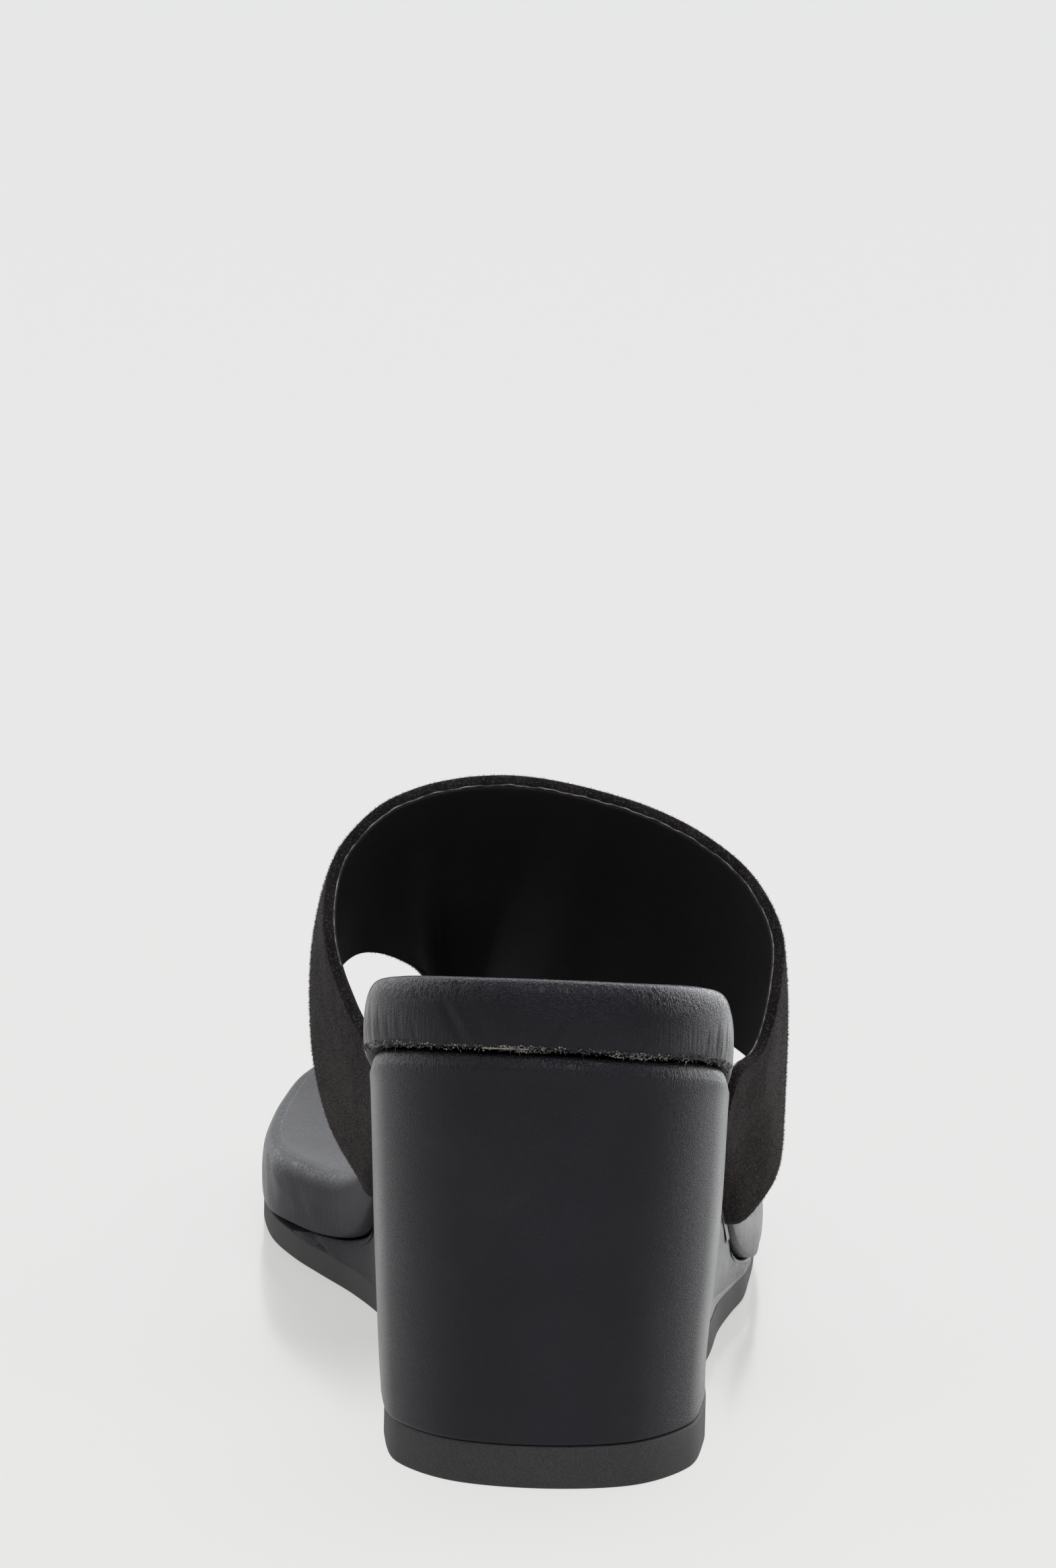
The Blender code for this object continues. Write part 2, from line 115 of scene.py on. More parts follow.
def ramp(tree, value, low, high, to_low=0.0, to_high=1.0):
    """A value carried from one range to another, and held at its ends."""
    sockets = {"Value": value, "From Min": low, "From Max": high, "To Min": to_low, "To Max": to_high}
    return place(tree, "ShaderNodeMapRange", sockets, interpolation_type="SMOOTHSTEP").outputs[0]


def noise(tree, vector, scale, detail=2.0, roughness=0.5):
    sockets = {"Vector": vector, "Scale": scale, "Detail": detail, "Roughness": roughness}
    return place(tree, "ShaderNodeTexNoise", sockets).outputs["Fac"]


print("node helpers ready")

# %% [markdown]
# ## The studio
#
# Black leather shows almost nothing but what it reflects, so the light matters more than the leather's
# colour. A white tent round the shoe would do it in a real studio, and here the world is that tent. It is
# darker behind the camera and bright beyond the toes, so the wedge stays dark in the middle and lights up at
# its sides. Four soft panels in it give the highlights. Lamps would do as well, but they would leave pools of
# light on the floor. Standard view keeps white board and black leather at the tones they are given.

# %% World and view
FLOOR_TONE = (0.778, 0.778, 0.764)
TENT_COLOUR = (0.96, 0.98, 1.0)
TENT_LEVELS = {"behind the camera": 0.30, "beyond the toes": 1.0, "right side": 0.18, "left side": 0.1}
TENT_TURN, TENT_SIDE = (-0.7, 0.3), (0.2, 0.9)  # where its levels change, as parts of a direction
# Bright panels: which way they lie, how bright they are and the cosine at which their soft edge ends. Two
# stand beyond the toes, one hangs over the shoe and one over the camera. Inside the core's cosine a panel is at
# its full strength.
TENT_PANELS = [
    ((0.66, 0.74, 0.08), 4.2, 0.80), ((-0.76, 0.64, 0.1), 1.4, 0.80),
    ((0.05, 0.45, 0.89), 5.0, 0.90), ((0.05, -0.80, 0.60), 2.8, 0.88),
]
PANEL_CORE = 0.97

bpy.context.scene.view_settings.view_transform = "Standard"
world = bpy.data.worlds.new("tent")
bpy.context.scene.world = world
world.use_nodes = True
tent = world.node_tree
sky = place(tent, "ShaderNodeTexCoord").outputs["Generated"]
way = place(tent, "ShaderNodeSeparateXYZ", {0: sky}).outputs
along = ramp(tent, way["Y"], *TENT_TURN, TENT_LEVELS["behind the camera"], TENT_LEVELS["beyond the toes"])
right = ramp(tent, way["X"], *TENT_SIDE, 0.0, TENT_LEVELS["right side"])
leftward = math(tent, "MULTIPLY", way["X"], -1.0)
left = ramp(tent, leftward, *TENT_SIDE, 0.0, TENT_LEVELS["left side"])
level = math(tent, "ADD", along, math(tent, "ADD", right, left))
for direction, strength, rim in TENT_PANELS:
    towards = tuple(np.array(direction) / np.linalg.norm(direction))
    facing = place(tent, "ShaderNodeVectorMath", {0: sky, 1: towards}, operation="DOT_PRODUCT")
    level = math(tent, "ADD", level, ramp(tent, facing.outputs["Value"], rim, PANEL_CORE, 0.0, strength))
tent_light = tent.nodes["Background"]
tent_light.inputs["Color"].default_value = (*TENT_COLOUR, 1.0)
tent.links.new(level, tent_light.inputs["Strength"])
print("tent levels", TENT_LEVELS)

# %% [markdown]
# ## The floor
#
# The shoe stands on smooth white board. A large plane is enough, because the camera looks down and never sees
# its end. In the photograph the board keeps one tone right up to the shoe, as if lit through from below, so
# it glows here for most of its light. The glow fades slowly behind the shoe and beside its heel, where the
# leather mirrors it. The board is a little glossy under the toes, which gives their faint mirror image, and
# matt at the heel.

# %% Floor
FLOOR_HALF = 6.0
FLOOR_GLOW = 0.92  # the share of the floor's light that comes through it
GLOSS_FROM, GLOSS_FULL = -0.085, -0.02  # along the foot, in metres
BOARD_IOR, BOARD_GLOSS = 1.52, 0.16
# The board's glow fades behind the shoe and to both sides of its heel, out of the picture
GLOW_FULL, GLOW_END, GLOW_LEAST = -0.15, -0.75, 0.50
SIDE_GLOW_FULL, SIDE_GLOW_END, SIDE_GLOW_LEAST = 0.08, 0.60, 0.70
SIDE_FADE_FROM, SIDE_FADE_TO = -0.25, 0.20  # along the foot, towards the toes

floor_mesh = bpy.data.meshes.new("floor")
corners = [(-1, -1), (1, -1), (1, 1), (-1, 1)]
floor_mesh.from_pydata([(x * FLOOR_HALF, y * FLOOR_HALF, 0.0) for x, y in corners], [], [(0, 1, 2, 3)])
floor = bpy.data.objects.new("floor", floor_mesh)
bpy.context.scene.collection.objects.link(floor)
board = bpy.data.materials.new("white_board")
board.use_nodes = True
board_tree = board.node_tree
board_matt = board_tree.nodes["Principled BSDF"]
board_matt.inputs["Base Color"].default_value = (*[tone * (1 - FLOOR_GLOW) for tone in FLOOR_TONE], 1.0)
board_matt.inputs["Emission Strength"].default_value = FLOOR_GLOW
board_matt.inputs["Specular IOR Level"].default_value = 0.0
floor_place = place(board_tree, "ShaderNodeTexCoord").outputs["Object"]
floor_spot = place(board_tree, "ShaderNodeSeparateXYZ", {0: floor_place}).outputs
gloss_share = ramp(board_tree, floor_spot["Y"], GLOSS_FROM, GLOSS_FULL)
faded = ramp(board_tree, floor_spot["Y"], GLOW_END, GLOW_FULL, GLOW_LEAST, 1.0)
aside = math(board_tree, "ABSOLUTE", floor_spot["X"])
aside = ramp(board_tree, aside, SIDE_GLOW_END, SIDE_GLOW_FULL, SIDE_GLOW_LEAST, 1.0)
aside = math(board_tree, "MAXIMUM", aside, ramp(board_tree, floor_spot["Y"], SIDE_FADE_FROM, SIDE_FADE_TO))
faded = math(board_tree, "MULTIPLY", faded, aside)
glow = place(board_tree, "ShaderNodeVectorMath", {0: FLOOR_TONE, 3: faded}, operation="SCALE").outputs[0]
board_tree.links.new(glow, board_matt.inputs["Emission Color"])
grazing = place(board_tree, "ShaderNodeFresnel", {"IOR": BOARD_IOR}).outputs[0]
gloss = place(board_tree, "ShaderNodeBsdfGlossy", {"Color": (*FLOOR_TONE, 1.0), "Roughness": BOARD_GLOSS})
sockets = {0: math(board_tree, "MULTIPLY", grazing, gloss_share), 1: board_matt.outputs[0], 2: gloss.outputs[0]}
mixed = place(board_tree, "ShaderNodeMixShader", sockets).outputs[0]
board_tree.links.new(mixed, board_tree.nodes["Material Output"].inputs["Surface"])
floor_mesh.materials.append(board)
print("floor", 2 * FLOOR_HALF, "m wide")

# %% [markdown]
# ## The shape of the last
#
# A shoe is built round a last. These rungs are cuts across it, from the heel's back to the toe's tip, with
# the two sides of the footbed, the heights that the pieces share and how far the outsole stays inside. The
# maker's frame has its origin at the heel, so every point is moved into the row's frame before it becomes a
# mesh. A smooth curve runs through the rungs, so few numbers give a fine surface.

# %% Rungs
HEEL_IN_ROW = np.array([6.4255, -116.4491, 0.0])  # where the maker's frame has its origin, in mm

Rung = namedtuple(
    "Rung", "medial_x medial_y lateral_x lateral_y seat bed lean sole_top ground medial_inset lateral_inset"
)
RUNGS = [
    Rung(0.0, -5.0, 0.0, -5.0, 79.6, 12.9, 0.033, 7.7, 0.0, 4.9, 4.9),
    Rung(-18.4, -1.1, 17.8, -0.9, 78.2, 12.9, 0.033, 7.7, 0.0, 5.0, 4.7),
    Rung(-30.5, 11.4, 28.7, 12.2, 74.7, 12.9, 0.033, 7.7, 0.0, 5.2, 4.2),
    Rung(-33.3, 28.5, 31.1, 28.5, 68.8, 12.9, 0.033, 7.6, 0.0, 4.9, 3.3),
    Rung(-32.4, 45.0, 31.0, 45.0, 61.6, 13.0, 0.025, 7.4, 0.0, 4.4, 3.0),
    Rung(-30.2, 59.0, 29.6, 59.0, 53.4, 13.0, 0.012, 7.1, 0.0, 3.3, 2.4),
    Rung(-29.3, 73.0, 29.3, 72.0, 43.6, 13.0, 0.0, 6.8, 0.0, 2.8, 1.7),
    Rung(-31.2, 88.0, 31.6, 86.0, 32.6, 12.9, 0.0, 6.0, 0.0, 3.4, 1.9),
    Rung(-34.8, 104.0, 34.2, 100.5, 18.3, 12.8, 0.0, 5.5, 0.0, 4.2, 2.9),
    Rung(-39.0, 119.0, 36.6, 112.5, 11.5, 12.7, 0.0, 5.3, 0.0, 2.9, 2.9),
    Rung(-44.6, 132.5, 38.6, 123.0, 8.4, 12.6, 0.0, 5.2, 0.0, 1.9, 2.4),
    Rung(-49.7, 144.2, 39.3, 133.5, 7.2, 12.6, 0.0, 5.1, 0.0, 1.5, 2.0),
    Rung(-53.8, 157.5, 39.9, 146.0, 5.8, 12.6, 0.0, 4.9, 0.0, 1.1, 1.6),
    Rung(-55.3, 172.5, 39.7, 160.0, 5.1, 12.6, 0.0, 4.8, 0.0, 0.5, 1.0),
    Rung(-54.8, 185.5, 38.3, 174.5, 5.1, 12.6, 0.0, 4.8, 0.0, 0.2, 0.4),
    Rung(-53.2, 199.0, 34.6, 190.0, 5.5, 12.6, 0.0, 5.2, 0.4, 0.0, 0.0),
    Rung(-49.9, 213.0, 27.5, 206.0, 6.6, 12.6, 0.0, 6.3, 1.5, -0.2, -0.3),
    Rung(-42.5, 226.0, 16.5, 220.5, 8.0, 12.6, 0.0, 7.7, 2.9, -0.4, -0.4),
    Rung(-31.0, 234.3, 2.0, 231.5, 9.2, 12.6, 0.0, 8.9, 4.1, -0.5, -0.5),
    Rung(-16.0, 237.5, -16.0, 237.5, 9.8, 12.6, 0.0, 9.5, 4.7, -0.5, -0.5),
]
BED_EVENS = 0.45  # share of the seat's lean that the footbed's padding makes up for
HEEL_SEAT_RUNG, BALL_RUNG, BALL_FRONT_RUNG = 3, 11, 13
# Cross-sections after each rung: close together where the leather gathers, at the heel and at the toes.
RUNG_STEPS = [64, 64, 48, 16, 10, 8, 8, 8, 8, 8, 16, 16, 12, 12, 16, 20, 24, 16, 12]
print(len(RUNGS), "rungs given,", sum(RUNG_STEPS) + 1, "cross-sections made")

# %% Smooth runs
def smooth_run(rows, steps):
    """A Catmull-Rom run through rows. The first and last rows only guide its ends."""
    rows = np.asarray(rows, float)
    out = []
    for i, count in enumerate(np.broadcast_to(steps, len(rows) - 3)):
        before, start, end, after = rows[i : i + 4]
        share = (np.arange(count) / count).reshape(-1, *([1] * (rows.ndim - 1)))
        curve = 2 * start + (end - before) * share
        curve = curve + (2 * before - 5 * start + 4 * end - after) * share**2
        out.append(0.5 * (curve + (3 * (start - end) + after - before) * share**3))
    return np.concatenate(out + [rows[-2:-1]])


def with_ends(rows):
    """Rows with one more guide row at each end, so that a run reaches the first and the last."""
    rows = np.asarray(rows, float)
    return np.concatenate([2 * rows[:1] - rows[1:2], rows, 2 * rows[-1:] - rows[-2:-1]])


def rung_row(index):
    """The cross-section that stands at one of the rungs."""
    return sum(RUNG_STEPS[:index])


print("a run goes through every row it is given")

# %% The last
class Last:
    """The rungs, smoothed: their two sides and the heights of each."""

    def __init__(self):
        rows = [tuple(rung) for rung in RUNGS]
        rows = [self.swapped(rows[1])] + rows + [self.swapped(rows[-2])]
        rungs = smooth_run(rows, RUNG_STEPS)
        self.medial, self.lateral = rungs[:, 0:2], rungs[:, 2:4]
        self.seat, self.bed, self.lean, self.sole_top = rungs[:, 4:8].T
        self.ground = np.maximum(rungs[:, 8], 0.0)
        self.sole_inset = rungs[:, 9:11].T

    @staticmethod
    def swapped(row):
        return row[2:4] + row[0:2] + row[4:9] + row[:8:-1]

    def sides(self, inset):
        """Medial and lateral points of every rung, moved in by one inset or by one for each side."""
        ring = np.concatenate([self.lateral, self.medial[-2:0:-1]])
        along = np.roll(ring, -1, axis=0) - np.roll(ring, 1, axis=0)
        inward = np.stack([-along[:, 1], along[:, 0]], axis=1)
        inward /= np.linalg.norm(inward, axis=1, keepdims=True)
        count = len(self.lateral)
        medial_inset, lateral_inset = np.broadcast_to(inset, (2, count))
        amount = np.concatenate([lateral_inset, medial_inset[-2:0:-1]])
        ring = ring + inward * amount[:, None]
        return np.concatenate([ring[:1], ring[: count - 2 : -1]]), ring[:count]

    def height(self, heights, flat):
        """One of the rung heights at flat points, by where they lie between the rungs."""
        line = self.lateral - self.medial
        line[[0, -1]] = (1.0, 0.0)
        line /= np.linalg.norm(line, axis=1, keepdims=True)
        reach = flat[:, None, :] - self.medial[None]
        ahead = line[:, 0] * reach[:, :, 1] - line[:, 1] * reach[:, :, 0]
        index = np.clip((ahead > 0).sum(axis=1) - 1, 0, len(line) - 2)
        rows = np.arange(len(flat))
        past, short = ahead[rows, index], -ahead[rows, index + 1]
        share = np.clip(past / (past + short), 0.0, 1.0)
        return heights[index] * (1 - share) + heights[index + 1] * share

    def seat_height(self, flat):
        """The footbed's underside at flat points. At the heel it leans to the outer side."""
        return self.height(self.seat, flat) - self.height(self.lean, flat) * flat[:, 0]

    def bed_height(self, flat):
        return self.height(self.bed, flat) + BED_EVENS * self.height(self.lean, flat) * flat[:, 0]

    def side_at(self, side, y):
        """x of the footbed's side where the outline passes y, between the heel seat and the ball."""
        outline = self.medial if side < 0 else self.lateral
        span = slice(rung_row(HEEL_SEAT_RUNG), rung_row(BALL_FRONT_RUNG) + 1)
        return np.interp(y, outline[span, 1], outline[span, 0])


last = Last()
print("footbed", round(np.ptp(last.medial[:, 1]), 1), "mm long")

# %% [markdown]
# ## From loops to a mesh
#
# Nearly every piece here is a stack of closed loops, one for each cross-section. Blender could skin curves
# for this, but then the points would not stay where the rungs put them. So one helper joins the loops with
# faces, merges points that fall together, turns the faces outwards, and keeps named values that materials and
# trees can read, such as the height above a seam.

# %% Loops into a mesh
DOUBLES = 0.004  # points closer than this, in mm, are one
UNMARKED = 900.0  # the value of a mark where a piece has none


def lift(flat, height):
    """Flat points and their heights as points in space."""
    return np.column_stack([flat, np.broadcast_to(height, len(flat))])


def unit(vectors):
    return vectors / np.linalg.norm(vectors, axis=-1, keepdims=True)


def across(medial, lateral, shares):
    """Points between the two sides of each rung, shape (rungs, shares, 3)."""
    shares = np.asarray(shares)[None, :, None]
    return medial[:, None, :] * (1 - shares) + lateral[:, None, :] * shares


def rung_loops(rings, bottom, top):
    """Closed loops round each rung. The count of rings is odd, so that a loop starts halfway up a side."""
    medial = np.stack([ring[0] for ring in rings], axis=1)
    lateral = np.stack([ring[1] for ring in rings], axis=1)
    middle = len(rings) // 2
    parts = [medial[:, middle::-1], bottom, lateral, top[:, ::-1], medial[:, :middle:-1]]
    return np.concatenate(parts, axis=1)


def loft(name, loops, caps=False, closed=True, fields=None):
    """A mesh through loops of points in the maker's frame, with named values at its points if asked."""
    loops = np.asarray(loops, float)
    rows, size = loops.shape[:2]
    shape = bmesh.new()
    layers = {key: shape.verts.layers.float.new(key) for key in fields or {}}
    grid = []
    for i in range(rows):
        line = []
        for j in range(size):
            vert = shape.verts.new((loops[i, j] + HEEL_IN_ROW) * MM)
            for key, layer in layers.items():
                vert[layer] = float(fields[key][i, j])
            line.append(vert)
        grid.append(line)
    for first, second in zip(grid, grid[1:]):
        for i in range(size if closed else size - 1):
            j = (i + 1) % size
            shape.faces.new([first[i], first[j], second[j], second[i]])
    for loop in [grid[0], grid[-1]] if caps is True else [grid[-1]] if caps == "end" else []:
        for i in range(size // 2):
            corners = [loop[i], loop[i + 1], loop[(size - i - 1) % size], loop[(size - i) % size]]
            shape.faces.new(list(dict.fromkeys(corners)))
    bmesh.ops.remove_doubles(shape, verts=shape.verts, dist=DOUBLES * MM)
    bmesh.ops.recalc_face_normals(shape, faces=shape.faces)
    mesh = bpy.data.meshes.new(name)
    shape.to_mesh(mesh)
    shape.free()
    mesh.shade_smooth()
    piece = bpy.data.objects.new(name, mesh)
    bpy.context.scene.collection.objects.link(piece)
    return piece


print("loops become a mesh")

# %% Reading and moving a mesh
def read(mesh, what):
    """Points or normals of a mesh as an array."""
    values = np.empty(len(mesh.vertices) * 3, np.float32)
    if what == "points":
        mesh.vertices.foreach_get("co", values)
    else:
        mesh.vertex_normals.foreach_get("vector", values)
    return values.reshape(-1, 3).astype(float)


def push(piece, height_mm):
    """Moves every point of a piece along its normal by a height in mm."""
    mesh = piece.data
    places = read(mesh, "points") + read(mesh, "normals") * height_mm[:, None] * MM
    mesh.vertices.foreach_set("co", places.astype(np.float32).ravel())
    mesh.update()


def field(piece, name):
    """A named value of a piece's points as an array."""
    values = np.empty(len(piece.data.vertices), np.float32)
    piece.data.attributes[name].data.foreach_get("value", values)
    return values.astype(float)


print("mesh helpers ready")

# %% [markdown]
# ## Folds placed one by one
#
# Leather pulled round a padded edge makes folds that are never even. A noise texture would spread them all
# over, so each fold here is a short line on the unrolled side of the piece: how far it lies round the edge,
# how high, how deep and how wide. A bump in a material would do for the finest ones, but a visible fold
# belongs in the mesh.

# %% Folds
Fold = namedtuple("Fold", "round0 up0 round1 up1 height width")
FOLD_END = 0.12  # how far into half a wave a fold starts, so that it tapers to both ends


def fold_heights(folds, around, up):
    """How far each point is moved out or in by a list of folds, in mm."""
    total = np.zeros(len(around))
    for fold in folds:
        line = np.array([fold.round1 - fold.round0, fold.up1 - fold.up0])
        reach = np.column_stack([around - fold.round0, up - fold.up0])
        share = np.clip(reach @ line / line.dot(line), 0.0, 1.0)
        away = np.linalg.norm(reach - share[:, None] * line, axis=1)
        taper = np.sin(np.pi * (FOLD_END + (1 - 2 * FOLD_END) * share))
        total += fold.height * taper * np.exp(-((away / fold.width) ** 2))
    return total


def arc(flat):
    """Distance along a row of flat points from its first one."""
    steps = np.linalg.norm(np.diff(flat, axis=0), axis=1)
    return np.concatenate([[0.0], np.cumsum(steps)])


print("fold lines run round an edge and up it")

# %% [markdown]
# ## The outsole
#
# A moulded rubber slab, thick under the heel and thin under the ball. It could be a solidified outline, but
# its thickness changes along the foot, so it is lofted through the rungs like everything else.

# %% Outsole
OUTSOLE_EDGE = [(0.6, 0.0, 0.0), (0.15, 0.0, 0.15), (0.0, 0.0, 0.6), (0.0, 0.5, 0.0), (0.0, 1.0, -0.4),
                (0.12, 1.0, -0.1), (0.5, 1.0, 0.0)]


def make_outsole():
    rings = []
    for inward, share, rise in OUTSOLE_EDGE:
        ring = []
        for side in last.sides(last.sole_inset + inward):
            ground, top = last.height(last.ground, side), last.height(last.sole_top, side)
            ring.append(lift(side, ground + share * (top - ground) + rise))
        rings.append(ring)
    shares = np.linspace(0.1, 0.9, 9)
    return loft("rubber_outsole", rung_loops(rings, across(*rings[0], shares), across(*rings[-1], shares)))


outsole = make_outsole()
print("outsole", len(outsole.data.polygons), "faces")

# %% [markdown]
# ## The wedge
#
# A light core with smooth leather drawn over it. Its shoulders are round where the leather turns in under the
# footbed and over the sole. At the ball the leather is skived thin and its last few millimetres pucker.

# %% Sizes of the wedge
GAP, SEAT_GAP = 0.12, 0.35
WEDGE_OVERHANG = 0.4
WEDGE_TOP_INSET = (1.2, 0.5)  # medial and lateral
WEDGE_BACK_HALF = 22.0  # from the middle out to here, a medial value turns into a lateral one
POCKET_DEPTH, POCKET_START, POCKET_END, POCKET_RAMP = 3.1, 65.0, 95.4, 1.3
SHOULDER_SHARE = 0.25
FEATHER_RUNGS, FEATHER_THIN = 12, 0.25  # the leather is pared down over the last rungs
WedgeStep = namedtuple("WedgeStep", "share medial_in lateral_in rise")
WEDGE_EDGE = [
    WedgeStep(0.0, 0.3, 1.1, 0.0), WedgeStep(0.0, -0.05, 0.8, 0.15), WedgeStep(0.0, -0.25, 0.6, 0.6),
    WedgeStep(0.0, -0.35, 0.6, 2.2), WedgeStep(0.05, -0.4, 0.68, 1.5), WedgeStep(0.1, -0.4, 0.75, 0.9),
    WedgeStep(0.2, -0.4, 0.65, 0.0), WedgeStep(0.3, -0.4, 0.4, 0.0), WedgeStep(0.4, -0.4, 0.12, 0.0),
    WedgeStep(0.5, -0.4, -0.1, 0.0), WedgeStep(0.6, -0.33, -0.18, 0.0), WedgeStep(0.7, -0.25, -0.2, 0.0),
    WedgeStep(0.8, -0.17, -0.14, 0.0), WedgeStep(0.9, -0.08, -0.07, -0.9),
    WedgeStep(0.95, -0.03, -0.03, -1.9), WedgeStep(1.0, 0.0, 0.0, -2.9), WedgeStep(1.0, 0.35, 0.35, -1.5),
    WedgeStep(1.0, 0.95, 0.95, -0.5), WedgeStep(1.0, 2.2, 2.2, 0.0),
]
WEDGE_BETWEEN = 3  # rings between two steps
POCKET_REACH, POCKET_LIP = 9.6, 1.5  # how far in the pockets go, and the slope at their inner edge
SHOULDER_HEIGHT = 4.0  # the edge's steps shrink where the shoulder's share of the height is less than this
FEATHER_CURVE = 0.6
print("the wedge's edge has", len(WEDGE_EDGE), "steps")

# %% Wedge mesh
def pocket_depths():
    """Depth of the pockets for the band's ends along the rungs, for each side."""
    depths = []
    for outline in (last.medial, last.lateral):
        inside = np.minimum(outline[:, 1] - POCKET_START, POCKET_END - outline[:, 1]) / POCKET_RAMP
        depths.append(POCKET_DEPTH * np.clip(inside, 0.0, 1.0))
    return depths


def between_sides(medial, lateral):
    """A value for each side of each rung, which changes evenly round the heel's back."""
    x = np.stack([last.medial[:, 0], last.lateral[:, 0]])
    return medial + (lateral - medial) * (0.5 + 0.5 * np.clip(x / WEDGE_BACK_HALF, -1.0, 1.0))


def make_wedge():
    count = rung_row(BALL_RUNG) + 1
    pockets = pocket_depths()
    size = np.minimum(1.0, SHOULDER_SHARE * (last.seat - last.sole_top - GAP - SEAT_GAP) / SHOULDER_HEIGHT)
    base = last.sole_inset - WEDGE_OVERHANG
    narrowing = between_sides(*WEDGE_TOP_INSET) - base
    feather = np.clip((count - 1 - np.arange(len(size))) / FEATHER_RUNGS, 0.0, 1.0) ** FEATHER_CURVE
    steps = smooth_run(with_ends(WEDGE_EDGE), WEDGE_BETWEEN)
    rings, ups = [], []
    for share, medial_in, lateral_in, rise in steps:
        share = min(max(share, 0.0), 1.0)
        ring, up = [], []
        inset = base + (share * narrowing + between_sides(medial_in, lateral_in)) * size
        for side, depth in zip(last.sides(inset), pockets):
            low, high = last.height(last.sole_top, side) + GAP, last.seat_height(side) - SEAT_GAP
            lowered = depth * max(share - 0.95, 0.0) / 0.05
            z = low + share * (high - low) + rise * size - lowered
            ring.append(lift(side, low + (z - low) * np.maximum(feather, FEATHER_THIN)))
            up.append(high - z)
        rings.append(ring)
        ups.append(up)
    plain = [lift(side, last.seat_height(side) - SEAT_GAP) for side in last.sides(POCKET_REACH + POCKET_LIP)]
    inner = [
        lift(side, last.seat_height(side) - SEAT_GAP - depth)
        for side, depth in zip(last.sides(POCKET_REACH), pockets)
    ]
    middle = across(*plain, [0.25, 0.5, 0.75])
    top = [inner[0][:, None], plain[0][:, None], middle, plain[1][:, None], inner[1][:, None]]
    bottom = across(*rings[0], np.linspace(0.1, 0.9, 7))
    loops = rung_loops(rings, bottom, np.concatenate(top, axis=1))[:count]
    rounds = [-arc(last.medial), arc(last.lateral)]
    marks = [
        [np.column_stack([around, height, around * 0]) for around, height in zip(rounds, up)] for up in ups
    ]
    far = np.full((len(last.medial), bottom.shape[1], 3), UNMARKED)
    mark_loops = rung_loops(marks, far, far)[:count]
    fields = {"round": mark_loops[:, :, 0], "down": mark_loops[:, :, 1]}
    return loft("leather_wedge", loops, caps="end", fields=fields)


wedge = make_wedge()
print("wedge", len(wedge.data.polygons), "faces")

# %% [markdown]
# ## Puckers in the wedge's leather
#
# The wedge's leather puckers where it runs out at the ball, and under the heel's seam the glue has drawn it
# into long, very low waves. Both are folds from the same helper, placed one by one.

# %% Puckers in the wedge's leather
WEDGE_FOLDS = [
    Fold(-168.0, 0.2, -160.0, 1.6, -0.25, 0.5), Fold(-172.0, 0.3, -163.5, 2.6, 0.22, 0.6),
    Fold(-165.0, 0.4, -156.0, 3.4, -0.22, 0.7), Fold(-175.0, 0.2, -170.0, 1.6, -0.2, 0.4),
    Fold(-160.0, 0.5, -150.0, 4.6, 0.18, 0.9), Fold(150.0, 0.4, 158.0, 2.6, 0.2, 0.8),
    Fold(155.0, 0.3, 160.5, 1.6, -0.22, 0.5),
    Fold(-21.0, 0.8, -6.0, 1.3, 0.10, 0.7), Fold(-2.0, 1.5, 9.0, 1.1, -0.10, 0.7),
    Fold(8.0, 1.0, 25.0, 1.6, 0.10, 0.8), Fold(-34.0, 1.0, -24.0, 2.2, -0.10, 1.0),
    Fold(-14.0, 2.6, 2.0, 3.3, 0.06, 1.3), Fold(6.0, 3.2, 20.0, 2.5, -0.06, 1.2),
]
push(wedge, fold_heights(WEDGE_FOLDS, field(wedge, "round"), field(wedge, "down")))
print(len(WEDGE_FOLDS), "folds in the wedge")

# %% [markdown]
# ## The footbed
#
# Board and foam wrapped in leather: round sides, a tight turn at the top edge and a shallow dish for the
# heel. It is a pad. Its leather is pulled down and glued under the edge, which gathers it at the heel's
# corners, and the toe post sinks into it.

# %% Sizes of the footbed
FOOTBED_EDGE = [(2.4, 0.0), (0.6, 0.015), (0.1, 0.12), (-0.05, 0.35), (0.0, 0.56), (0.3, 0.76), (0.9, 0.9),
                (1.8, 0.975), (3.4, 1.0)]
FOOTBED_BETWEEN = 5
HEEL_CUP, TOE_DISH = 2.0, 0.8
POST_X, POST_Y = -21.0, 186.0
POST_DIMPLE, DIMPLE_RADIUS = 0.9, 5.0
TOP_SHARES = (1 - np.cos(np.linspace(0.10, 0.90, 31) * np.pi)) / 2  # points across the top, closer at its edges
FULL_DISH_WIDTH = 40.0  # a narrower part of the top is dished less
print("the footbed's edge has", len(FOOTBED_EDGE), "steps")

